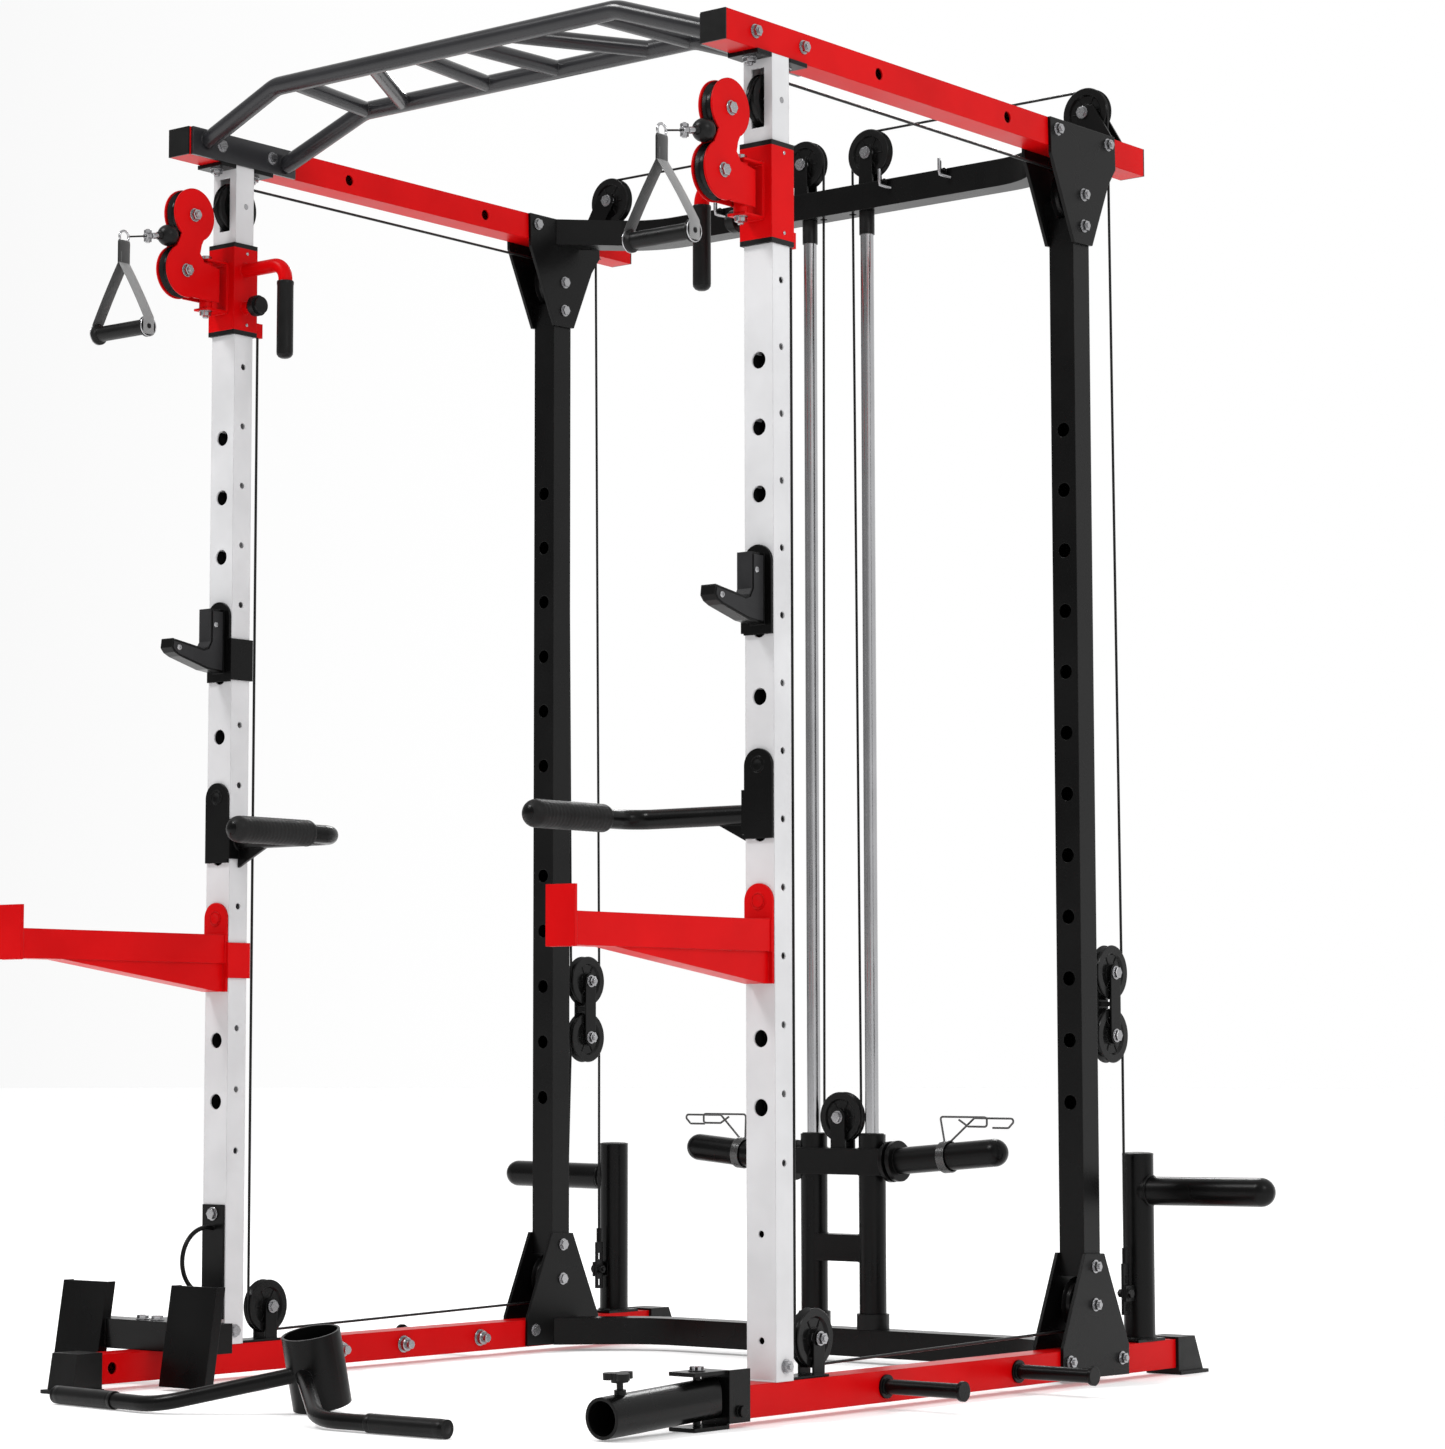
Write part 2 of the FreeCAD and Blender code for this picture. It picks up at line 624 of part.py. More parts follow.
def cables():
    """Upper cable from trolley to trolley through the carriage, and both lower cables."""
    wrap = GROOVE_R + CABLE_R

    def side_plane(y, z):
        return V(RAIL_X, y, z)

    def back_plane(x, z):
        return V(x, CROSS_Y, z)

    front_run = [(BALL[0] + 19.3, LOBE_UPPER[1] - wrap, 0, 1),
                 (*LOBE_UPPER, wrap, 1), (*TOP_PULLEY, wrap, -1),
                 (*GUSSET_PULLEY, wrap, -1), (FLOAT_Y, FLOAT_UPPER_Z, wrap, 1), (CROSS_Y, CROWN_Z - 40, 0, 1)]
    middle_run = [(RAIL_X, CROWN_Z - 39.5, 0, 1), (CROWN_PULLEY_X, CROWN_Z, wrap, 1),
                  (CROSS_PULLEY_X, CROWN_Z, wrap, 1), (0, CARRIAGE_PULLEY_Z, wrap, -1),
                  (-CROSS_PULLEY_X, CROWN_Z, wrap, 1), (-CROWN_PULLEY_X, CROWN_Z, wrap, 1),
                  (-RAIL_X, CROWN_Z - 39.5, 0, 1)]
    low_run = [(LOWER_CABLE_Y, TROLLEY_Z[0] + 12, 0, 1), (*FRONT_PULLEY, wrap, 1), (*FLOOR_PULLEY, wrap, 1),
               (FLOAT_Y, FLOAT_LOWER_Z, wrap, -1), (FLOAT_Y + wrap, ADJUSTER_TOP, 0, 1)]
    side_cables = both_sides([cable(front_run, side_plane), cable(low_run, side_plane)])
    return side_cables + [cable(middle_run, back_plane)]


# ---------------------------------------------------------------- pieces fixed to the left and right rails
def foot_plate_stand():
    """Foot plates on a cross bar over the left base rail, with a half ring on the upright."""
    bar = box((427, 779), (-198, -148), (BASE_TOP, BASE_TOP + TUBE))
    lean = [(-222, 6), (-217, 6), (-190, 174), (-195, 174)]
    lip = [(-222, 6), (-202, 6), (-175, 174), (-195, 174)]
    pieces = [bar]
    for low, high in ((417, 527), (687, 797)):
        pieces.append(plate_yz(lean, (low, high)))
        pieces += [plate_yz(lip, (edge, edge + 4)) for edge in (low, high - 4)]
        pieces.append(plate_yz([(-209, 72), (-204, 102), (-196, 102), (-196, 72)], (low + 25, high - 25)))
    front = -UPRIGHT_D / 2
    pieces.append(box((577, 629), (-150, front), (BASE_TOP + 44, BASE_TOP + 50)))
    pieces.append(box((577, 629), (front - 4, front), (BASE_TOP + 44, 303)))
    weldment = joined(*pieces)
    foot_bolt = bolt((RAIL_X, front - 4, 287), (RAIL_X, front + WALL, 287), 4.8)
    weldment = weldment.cut(hole_for((RAIL_X, front - 4, 287), (RAIL_X, front, 287)))
    arc = Part.Arc(V(RAIL_X, front - 4, 262), V(RAIL_X, -98, 207), V(RAIL_X, front - 4, 152))
    heading = arc.tangent(arc.FirstParameter)[0]
    section = Part.Face(Part.Wire(Part.makeCircle(4, V(RAIL_X, front - 4, 262), heading)))
    half_ring = Part.Wire(arc.toShape()).makePipe(section)
    half_ring = half_ring.common(box((500, 700), (-150, front - 4), (100, 300)))
    return [flipped(piece) for piece in (weldment, foot_bolt, half_ring)]


def landmine_bracket():
    """U-shaped bracket on the front end of the right base rail, with its pivot bolt."""
    back = BASE_FRONT_RIGHT
    shell = joined(box((RAIL_X - 25, RAIL_X + 25), (back - 6, back), (0, 88)),
                   box((RAIL_X - 25, RAIL_X + 25), (LANDMINE_Y - 36, back), (0, 6)),
                   box((RAIL_X - 25, RAIL_X + 25), (LANDMINE_Y - 36, back), (82, 88)),
                   box((RAIL_X + 25, RAIL_X + 30), (back - 6, back + 45), (8, 88)))
    pivot = bolt((RAIL_X, LANDMINE_Y, 88), (RAIL_X, LANDMINE_Y, 6), 6, 11)
    pivot = pivot.common(box((500, 700), (-300, 0), (0.5, 120)))
    bolt_way = cyl((RAIL_X, LANDMINE_Y, -5), (RAIL_X, LANDMINE_Y, 95), 6.2)
    nut_way = cyl((RAIL_X, LANDMINE_Y, -1), (RAIL_X, LANDMINE_Y, 6), 13.6)
    side_screw = cyl((RAIL_X + 30, back + 22, 25), (RAIL_X + 37, back + 22, 25), 9)
    return [drilled(shell, bolt_way, nut_way), pivot, side_screw]


def drooped(shape):
    """Turn a landmine piece down about the pivot bolt."""
    turned = shape.copy()
    turned.rotate(V(RAIL_X, LANDMINE_Y, LANDMINE_Z), V(1, 0, 0), LANDMINE_DROOP)
    return turned


def landmine_sleeve():
    """Socket for the end of a barbell; its round heel turns on the pivot bolt."""
    mouth, heel, floor = LANDMINE_MOUTH, LANDMINE_Y + 38, LANDMINE_Y - 45
    tube = cyl((RAIL_X, mouth, LANDMINE_Z), (RAIL_X, heel, LANDMINE_Z), 31)
    tube = tube.cut(cyl((RAIL_X, mouth, LANDMINE_Z), (RAIL_X, floor, LANDMINE_Z), LANDMINE_BORE))
    keep = joined(cyl((RAIL_X, LANDMINE_Y, 0), (RAIL_X, LANDMINE_Y, 100), 38),
                  box((RAIL_X - 40, RAIL_X + 40), (mouth, LANDMINE_Y), (0, 100)))
    boss = cyl((RAIL_X, KNOB_Y, LANDMINE_Z + 29), (RAIL_X, KNOB_Y, LANDMINE_Z + 37), 9)
    boss = boss.cut(cyl((RAIL_X, mouth, LANDMINE_Z), (RAIL_X, floor, LANDMINE_Z), 28))
    tube = drooped(joined(tube.common(keep), boss))
    thread = drooped(cyl((RAIL_X, KNOB_Y, LANDMINE_Z + 10), (RAIL_X, KNOB_Y, LANDMINE_Z + 45), 5.1))
    pivot_way = cyl((RAIL_X, LANDMINE_Y, 0), (RAIL_X, LANDMINE_Y, 100), 6.05)
    return [drilled(tube, thread, pivot_way)]


def landmine_knob():
    """Clamp screw with a flat three-lobed head on top of the landmine sleeve."""
    foot = LANDMINE_Z + LANDMINE_BORE + 1
    head = LANDMINE_Z + 56
    shapes = [cyl((RAIL_X, KNOB_Y, foot), (RAIL_X, KNOB_Y, head), 5),
              cyl((RAIL_X, KNOB_Y, head - 8), (RAIL_X, KNOB_Y, head + 6), 13)]
    for index in range(3):
        angle = math.radians(120 * index + 90)
        x, y = RAIL_X + 15 * math.cos(angle), KNOB_Y + 15 * math.sin(angle)
        shapes.append(cyl((x, y, head - 4), (x, y, head + 6), 10))
    return [drooped(joined(*shapes))]


# ---------------------------------------------------------------- attachments that hang on the uprights
def pinned_plate(pin_z, low, top, strap):
    """Face plate with its pin and the strap that lies round the inner and rear faces."""
    front = -UPRIGHT_D / 2 - STRAP_GAP
    rear = UPRIGHT_D / 2 + STRAP_GAP
    inner = RAIL_X - UPRIGHT_W / 2 - STRAP_GAP
    plate = tab_xz((RAIL_X - 27.5, RAIL_X + 27.5), (front - 5, front), low, top)
    pin = cyl((RAIL_X, front - 5, pin_z), (RAIL_X, rear + 6, pin_z), 12.5)
    side = box((inner - 4, inner), (front - 5, rear + 4), strap)
    lap = box((inner - 4, RAIL_X - 20), (front - 5, front), strap)
    back = box((inner - 4, RAIL_X + 24), (rear, rear + 4), strap)
    return joined(plate, pin, side, lap, back)


def j_hook():
    """Barbell hook with a lined seat and a raised lip."""
    frame = pinned_plate(HOOK_PIN_Z, 1219, 1361, (1222, 1295))
    profile = [(-27, 1346), (-59, 1346), (-59, 1287), (-65, 1277), (-76, 1273), (-151, 1285), (-153, 1270),
               (-146, 1262), (-133, 1256), (-66, 1238), (-27, 1234)]
    hook = plate_yz(profile, (RAIL_X - 14, RAIL_X + 14))
    screws = [cyl((RAIL_X - 16, y, z), (RAIL_X + 16, y, z), 5) for y, z in ((-48, 1318), (-136, 1271))]
    return joined(frame, hook, *screws)


def dip_handle():
    """Dip bar that reaches inwards from the strap and then forwards, with a thick grip."""
    frame = pinned_plate(DIP_PIN_Z, 899, 1040, (906, 976))
    z = 939
    inner = RAIL_X - UPRIGHT_W / 2 - STRAP_GAP
    bar = bent_rod([(inner - 1, 0, z), (DIP_X, 0, z), (DIP_X, -238, z)], 42, 16)
    rib = plate_xz([(inner - 1, z), (505, z), (505, z - 15), (inner - 1, z - 48)], (-3, 3))
    grip = joined(cyl((DIP_X, -76, z), (DIP_X, -240, z), 22), round_end((DIP_X, -240, z), 22))
    return joined(frame, bar, rib, grip)


def spotter_arm():
    """Long safety arm with an upright end plate and a rib underneath."""
    frame = pinned_plate(SPOTTER_PIN_Z, 673, 829, (697, 759))
    arm = box((RAIL_X - 25, RAIL_X + 25), (-494, -27), (722.6, 772.6))
    hollow = box((RAIL_X - 22, RAIL_X + 22), (-494, -30), (725.6, 769.6))
    end = box((RAIL_X - 28, RAIL_X + 28), (-500, -494), (721, 812))
    rib = plate_yz([(-27, 723), (-402, 723), (-38, 673), (-27, 673)], (RAIL_X - 20, RAIL_X + 20))
    return joined(frame, arm.cut(hollow), end, rib)


# ---------------------------------------------------------------- carriage
def carriage():
    """Welded frame that slides on the guide rods and carries plates on two sleeves."""
    y = (CROSS_Y - 27, CROSS_Y + 27)
    pieces = [cyl((side * ROD_X, CROSS_Y, 90), (side * ROD_X, CROSS_Y, 417), 25) for side in (-1, 1)]
    pieces.append(box((-104, 104), y, (343, 391)))
    pieces.append(box((-ROD_X, ROD_X), (CROSS_Y - 20, CROSS_Y + 20), (184, 233)))
    for low in (-17, 12):
        cheek = tab_xz((-16, 16), (CROSS_Y + low, CROSS_Y + low + 5), 389, CARRIAGE_PULLEY_Z + 16)
        pieces.append(cheek)
    for side in (-1, 1):
        pieces.append(plate_sleeve(side))
    frame = joined(*pieces)
    ways = [cyl((side * ROD_X, CROSS_Y, 80), (side * ROD_X, CROSS_Y, 430), ROD_R + 0.05) for side in (-1, 1)]
    axle_ends = [(0, CROSS_Y + way * 17, CARRIAGE_PULLEY_Z) for way in (-1, 1)]
    axle_way = hole_for(*axle_ends, AXLE_R + 0.2)
    axle = bolt((0, CROSS_Y - 17, CARRIAGE_PULLEY_Z), (0, CROSS_Y + 17, CARRIAGE_PULLEY_Z), AXLE_R)
    return [drilled(frame, axle_way, *ways), axle]


def sleeve_point(side, distance):
    """Point on the axis of a carriage sleeve, measured outwards from the top bar."""
    tilt = math.radians(SLEEVE_TILT)
    return (side * (104 + distance * math.cos(tilt)), CROSS_Y, 367 + distance * math.sin(tilt))


def plate_sleeve(side):
    """Sleeve for weight plates with two collars at its root and a round tip."""
    length = SLEEVE_TIP_X - 104 - SLEEVE_R
    shapes = [cyl(sleeve_point(side, -20), sleeve_point(side, PLATE_STOP), SLEEVE_R - 0.4),
              cyl(sleeve_point(side, PLATE_STOP), sleeve_point(side, length), SLEEVE_R),
              round_end(sleeve_point(side, length), SLEEVE_R),
              cyl(sleeve_point(side, 2), sleeve_point(side, 10), 37.5),
              cyl(sleeve_point(side, 18), sleeve_point(side, 26), 37.5)]
    return joined(*shapes)


def spring_clip(side):
    """Coiled wire clip on a carriage sleeve, with two finger loops above it."""
    wire = 1.9
    turn = SLEEVE_R + 0.4 + wire
    along = V(*sleeve_point(side, 1)) - V(*sleeve_point(side, 0))
    middles = [V(*sleeve_point(side, 126 + 3.4 * index)) for index in range(5)]
    coil = [Part.makeTorus(turn, wire, middle, along) for middle in middles]
    loops = []
    for root, y, corners in ((126, -5, [(224, 451), (326, 451), (326, 434), (285, 434), (265, 446)]),
                             (139.6, 5, [(292, 449), (384, 449), (366, 432), (332, 432)])):
        foot = V(*sleeve_point(side, root)) + V(0, 0, turn)
        path = [tuple(foot)] + [(side * x, CROSS_Y + y, z) for x, z in corners]
        loops.append(bent_rod(path, 5, wire))
    return joined(*coil, *loops)


# ---------------------------------------------------------------- trolleys
def trolley():
    """Steel sleeve on a front upright with its swivel bracket, elbow tube and swivel bolt."""
    low, high = TROLLEY_Z[0] + 8, TROLLEY_Z[1] - 8
    shell = box((RAIL_X - 32, RAIL_X + 32), (-28.5, 29.5), (low, high))
    shell = shell.cut(box((RAIL_X - 29.5, RAIL_X + 29.5), (-23.5, 24), (low - 1, high + 1)))
    tabs = [box((RAIL_X - 17, RAIL_X + 17), (SWIVEL_Y - 12, -28.5), z) for z in SWIVEL_TABS]
    web = box((RAIL_X - 17, RAIL_X + 17), (-32.5, -28.5), (SWIVEL_TABS[0][0], SWIVEL_TABS[1][1]))
    lug = box((RAIL_X - 4, RAIL_X + 4), (29.5, LOWER_CABLE_Y + 9), (low, low + 26))
    lug = lug.cut(cyl((RAIL_X, LOWER_CABLE_Y, low - 1), (RAIL_X, LOWER_CABLE_Y, low + 12), CABLE_R + 0.3))
    elbow = bent_rod([(572, 0, 1957), (ELBOW_X, 0, 1957), (ELBOW_X, 0, 1925)], 28, 12.5)
    boss = cyl((558, 0, PIN_Z), (571, 0, PIN_Z), 11)
    pin_way = cyl((550, 0, PIN_Z), (574, 0, PIN_Z), 5.1)
    swivel_way = cyl((RAIL_X, SWIVEL_Y, 1870), (RAIL_X, SWIVEL_Y, 1980), AXLE_R + 0.2)
    frame = drilled(joined(shell, *tabs, web, lug, elbow, boss), pin_way, swivel_way)
    swivel_bolt = bolt((RAIL_X, SWIVEL_Y, SWIVEL_TABS[1][1]), (RAIL_X, SWIVEL_Y, SWIVEL_TABS[0][0]), AXLE_R)
    return [frame, swivel_bolt]


def trolley_plastics():
    """Glide rings at both ends of the trolley sleeve and the grip on its elbow tube."""
    rings = []
    for z in ((TROLLEY_Z[0], TROLLEY_Z[0] + 8), (TROLLEY_Z[1] - 8, TROLLEY_Z[1])):
        outer = box((RAIL_X - 32, RAIL_X + 32), (-28.5, 29.5), z)
        gap = UPRIGHT_W / 2 + TROLLEY_GAP
        rings.append(outer.cut(box((RAIL_X - gap, RAIL_X + gap), (-22 - TROLLEY_GAP, 22 + TROLLEY_GAP),
                                   (z[0] - 1, z[1] + 1))))
    grip = joined(cyl((ELBOW_X, 0, 1925), (ELBOW_X, 0, 1794), 14.5), round_end((ELBOW_X, 0, 1794), 7))
    return rings + [grip]


def pop_pin():
    """Spring plunger with a mushroom knob."""
    shapes = [cyl((574.2, 0, PIN_Z), (546, 0, PIN_Z), 5), cyl((557.7, 0, PIN_Z), (546, 0, PIN_Z), 9),
              cyl((548, 0, PIN_Z), (536, 0, PIN_Z), 18.5), cyl((536, 0, PIN_Z), (529, 0, PIN_Z), 15)]
    return joined(*shapes)


def swivel_frame():
    """Two shaped cheeks that hold the swivel pulleys and turn on the trolley bracket."""
    waist = [(-150, 2027), (-137, 2008), (-150, 1982), (-95, 1972), (-91, 1991), (-80, 2012), (-90, 2032)]
    tail = [(-127, 1965), (-89, 1962), (-46.5, 1954), (-46.5, 1894), (-110, 1894)]
    cheeks = []
    for x in ((RAIL_X - 14, RAIL_X - 11), (RAIL_X + 11, RAIL_X + 14)):
        lobes = [cyl((x[0], *centre), (x[1], *centre), 47.6) for centre in (LOBE_UPPER, LOBE_LOWER)]
        cheek = joined(plate_yz(waist, x), plate_yz(tail, x), *lobes)
        ways = [cyl((x[0] - 1, *centre), (x[1] + 1, *centre), AXLE_R + 0.2)
                for centre in (LOBE_UPPER, LOBE_LOWER)]
        cheeks.append(drilled(cheek, *ways))
    low, high = SWIVEL_TABS[0][1] + 0.3, SWIVEL_TABS[1][0] - 0.3
    barrel = cyl((RAIL_X, SWIVEL_Y, low), (RAIL_X, SWIVEL_Y, high), 11.5)
    barrel = barrel.cut(cyl((RAIL_X, SWIVEL_Y, 1870), (RAIL_X, SWIVEL_Y, 1980), AXLE_R + BORE_GAP))
    axles = [bolt((RAIL_X + 14, *centre), (RAIL_X - 14, *centre), AXLE_R)
             for centre in (LOBE_UPPER, LOBE_LOWER)]
    return [joined(*cheeks, barrel)] + axles


def pull_link():
    """Ball stop on the end of the upper cable, with its short tail and ring."""
    ball = round_end((RAIL_X, *BALL), 19)
    ferrule = cyl((RAIL_X, *BALL), (RAIL_X, BALL[0] - 40, BALL[1] - 6), 6)
    tail = cyl((RAIL_X, *BALL), (RAIL_X, RING[0] + 9, RING[1] + 2), 2.6)
    loop = Part.makeTorus(10, 2.6, V(RAIL_X, *RING), V(1, 0, 0))
    bead = round_end((RAIL_X, RING[0] + 11, RING[1] + 2), 3.6)
    return joined(ball, ferrule, tail, bead, loop)


def pull_handle():
    """Webbing triangle with a straight hand grip, hung from the ring."""
    y = (RING[0] - 12.5, RING[0] + 12.5)
    top = RING[1] - 14
    neck = box((RAIL_X - 3, RAIL_X + 3), y, (top - 34, top))
    legs = []
    for side in (-1, 1):
        outline = [(RAIL_X, top - 33), (RAIL_X + side * 4, top - 33), (RAIL_X + side * 66, PULL_GRIP_Z),
                   (RAIL_X + side * 62, PULL_GRIP_Z)]
        legs.append(plate_xz(outline, y))
        disc = cyl((RAIL_X + side * 60, RING[0], PULL_GRIP_Z), (RAIL_X + side * 66, RING[0], PULL_GRIP_Z), 19)
        legs.append(disc)
    grip = cyl((RAIL_X - 61, RING[0], PULL_GRIP_Z), (RAIL_X + 61, RING[0], PULL_GRIP_Z), 13.5)
    return joined(neck, grip, *legs)


def floating_block():
    """Two cheeks that join the upper and lower floating pulleys, with both axles."""
    cheeks = []
    for x in ((RAIL_X - 15, RAIL_X - 11), (RAIL_X + 11, RAIL_X + 15)):
        strip = box(x, (FLOAT_Y - 15, FLOAT_Y + 15), (FLOAT_LOWER_Z, FLOAT_UPPER_Z))
        ends = [cyl((x[0], FLOAT_Y, z), (x[1], FLOAT_Y, z), 15) for z in (FLOAT_LOWER_Z, FLOAT_UPPER_Z)]
        ways = [cyl((x[0] - 1, FLOAT_Y, z), (x[1] + 1, FLOAT_Y, z), AXLE_R + 0.2)
                for z in (FLOAT_LOWER_Z, FLOAT_UPPER_Z)]
        cheeks.append(drilled(joined(strip, *ends), *ways))
    middle = (FLOAT_LOWER_Z + FLOAT_UPPER_Z) / 2
    spacer = box((RAIL_X - 11, RAIL_X + 11), (FLOAT_Y - 12, FLOAT_Y + 12), (middle - 4, middle + 4))
    axles = [bolt((RAIL_X + 15, FLOAT_Y, z), (RAIL_X - 15, FLOAT_Y, z), AXLE_R)
             for z in (FLOAT_LOWER_Z, FLOAT_UPPER_Z)]
    return [joined(*cheeks, spacer)] + axles


def t_bar_handle():
    """Loose rowing handle on the floor: a collar for a bar end and two spread arms."""
    collar = cyl((0, 0, 0), (0, 0, 118), 47)
    bore = cyl((0, 0, -120), (0, 0, 240), 43)
    for shape in (collar, bore):
        shape.rotate(V(0, 0, 0), V(1, 0, 0), T_BAR_LEAN)
        shape.translate(V(0, 0, 12))
    arms, grips = [], []
    for side in (-1, 1):
        bend, end = V(side * 182, -188, T_BAR_Z), V(side * T_BAR_REACH, -172, T_BAR_Z)
        arms.append(bent_rod([(side * 8, -50, 62), tuple(bend), tuple(end)], 100, 12.5))
        along = (end - bend).normalize()
        root, tip = end - along * 150, end + along * 4
        grips.append(cyl(tuple(root), tuple(tip), 14.4).cut(cyl(tuple(root), tuple(end + along * 0.1), 12.7)))
    bridge = box((-14, 14), (-58, -42), (52, 72))
    shapes = [joined(collar, bridge, *arms).cut(bore)] + grips
    for shape in shapes:
        shape.rotate(V(0, 0, 0), V(0, 0, 1), T_BAR_TURN)
        shape.translate(V(T_BAR_X, T_BAR_Y, 0))
    return shapes


# ---------------------------------------------------------------- the whole machine
def nodes():
    """Every sub-part by name, as a list of separate solids."""
    parts = {
        "base_rails": base_rails(),
        "top_rails": top_rails(),
        "caps_and_stops": rail_shoes() + tube_caps() + rod_stops(),
        "front_uprights": front_uprights(),
        "rear_uprights": rear_uprights(),
        "gusset_plates": gusset_plates(),
        "crossmembers": crossmembers(),
        "pull_up_bar": pull_up_bar() + pull_up_plates(),
        "guide_rods": guide_rods(),
        "storage_posts_and_pegs": storage_posts() + band_pegs(),
        "frame_bolts": frame_bolts(),
        "cable_hardware": cable_hardware(),
        "cables": cables(),
        "foot_plate_stand": foot_plate_stand(),
        "landmine_bracket": landmine_bracket(),
        "landmine_sleeve": landmine_sleeve(),
        "landmine_knob": landmine_knob(),
        "carriage": carriage(),
        "t_bar_handle": t_bar_handle(),
        "carriage_pulley": [pulley((0, CROSS_Y, CARRIAGE_PULLEY_Z), "Y")],
        "top_pulleys": both_sides([pulley((RAIL_X, *TOP_PULLEY), "X")]),
        "gusset_pulleys": both_sides([pulley((RAIL_X, *GUSSET_PULLEY), "X")]),
    }
    handed = {
        "crown_pulley": [pulley((CROWN_PULLEY_X, CROSS_Y, CROWN_Z), "Y")],
        "cross_pulley": [pulley((CROSS_PULLEY_X, CROSS_Y, CROWN_Z), "Y")],
        "rear_floor_pulley": [pulley((RAIL_X, *FLOOR_PULLEY), "X")],
        "front_floor_pulley": [pulley((RAIL_X, *FRONT_PULLEY), "X")],
        "upper_float_pulley": [pulley((RAIL_X, FLOAT_Y, FLOAT_UPPER_Z), "X", FLOAT_PULLEY_R)],
        "lower_float_pulley": [pulley((RAIL_X, FLOAT_Y, FLOAT_LOWER_Z), "X", FLOAT_PULLEY_R)],
        "upper_swivel_pulley": [pulley((RAIL_X, *LOBE_UPPER), "X", 46)],
        "lower_swivel_pulley": [pulley((RAIL_X, *LOBE_LOWER), "X", 46)],
        "floating_block": floating_block(),
        "j_hook": [j_hook()],
        "dip_handle": [dip_handle()],
        "spotter_arm": [spotter_arm()],
        "trolley": trolley(),
        "trolley_plastics": trolley_plastics(),
        "pop_pin": [pop_pin()],
        "swivel_frame": swivel_frame(),
        "pull_link": [pull_link()],
        "pull_handle": [pull_handle()],
        "spring_clip": [spring_clip(1)],
    }
    for name, solids in handed.items():
        parts[name + "_right"] = solids
        parts[name + "_left"] = [flipped(solid) for solid in solids]
    return parts


def save(name, solids):
    """Write one sub-part, moved so that the origin is the machine's bottom centre."""
    whole = Part.makeCompound([solid for shape in solids for solid in shape.Solids])
    whole.translate(V(0, -ORIGIN_Y, 0))
    whole.exportStep("parts/" + name + ".step")


os.makedirs("parts", exist_ok=True)
for node_name, node_solids in nodes().items():
    save(node_name, node_solids)
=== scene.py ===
"""Looks of the cable cage: materials, cables, handles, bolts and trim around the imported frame.

Metres, +Z up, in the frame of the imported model. Rails, pulleys, links and grips are found from the
boxes of the nodes. Other places are named below: Y from the centre plane of the front uprights, Z
from the floor.
"""
import math

import bmesh
import bpy
from mathutils import Matrix, Vector


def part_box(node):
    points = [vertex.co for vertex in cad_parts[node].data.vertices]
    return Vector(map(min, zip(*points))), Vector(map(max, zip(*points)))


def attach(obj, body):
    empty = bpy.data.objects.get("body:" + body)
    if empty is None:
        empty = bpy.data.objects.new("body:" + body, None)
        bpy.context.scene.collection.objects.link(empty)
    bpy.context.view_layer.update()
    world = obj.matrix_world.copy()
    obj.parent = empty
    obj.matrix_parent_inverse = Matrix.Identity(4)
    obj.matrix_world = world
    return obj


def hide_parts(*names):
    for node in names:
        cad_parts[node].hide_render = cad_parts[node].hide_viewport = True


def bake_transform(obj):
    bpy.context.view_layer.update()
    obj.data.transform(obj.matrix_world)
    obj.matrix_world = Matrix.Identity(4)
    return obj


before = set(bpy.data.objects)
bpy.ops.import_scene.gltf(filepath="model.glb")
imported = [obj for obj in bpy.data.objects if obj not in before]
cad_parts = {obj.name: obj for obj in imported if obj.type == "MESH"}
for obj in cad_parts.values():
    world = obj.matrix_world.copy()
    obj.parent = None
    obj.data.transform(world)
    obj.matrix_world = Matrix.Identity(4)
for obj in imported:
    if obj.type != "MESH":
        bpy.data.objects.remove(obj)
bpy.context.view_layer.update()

SIDES = (("left", -1), ("right", 1))
X, Y, Z = Vector((1, 0, 0)), Vector((0, 1, 0)), Vector((0, 0, 1))


def middle(node):
    """Centre of a node's box at rest."""
    low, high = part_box(node)
    return (low + high) / 2


RAIL_X = middle("upper_swivel_pulley_right").x
FRONT_Y = middle("front_uprights").y
CROSS_Y = middle("carriage_pulley").y
UPRIGHT_W = 0.057
TUBE_HALF = 0.025
HOLE_TOP_Z, HOLE_PITCH, HOLE_COUNT = 1.890, 0.1067, 15
CABLE_R = 0.0024
GROOVE_R = 0.040
WRAP_R = GROOVE_R + CABLE_R

SWIVEL_PIVOT_Y, SWIVEL_EARS_Z = -0.067, (1.969, 1.878)
HOOK_PIN_Z, DIP_PIN_Z, ARM_PIN_Z = 1.335, 1.0149, 0.8015
DIP_BAR_Z = 0.939
BAND_PEG_Y, BAND_PEG_Z = (0.269, 0.6445), 0.037
SPARE_NUT_Y = 0.436
POST_Y, POST_TOP_Z, PLATE_PEG_Z = FRONT_Y + 1.065, 0.388, 0.3255
HOOK_ROW_Y, HOOK_ROW_Z = 0.983, 2.178
CABLE_END_Z = 0.226


def place(x, y, z):
    """Point with its Y measured from the front uprights."""
    return Vector((x, FRONT_Y + y, z))


# ---------------------------------------------------------------- camera, light and floor
CAMERA_PLACE = (4.2424, -5.0709, 0.56261)
CAMERA_TURN = math.radians(39.53)
CAMERA_PITCH = math.radians(5.39)
AIM_POINT = Vector((0, 0, 1.1))
BRIGHT_SIDE = (0.66, 0.75, 0)


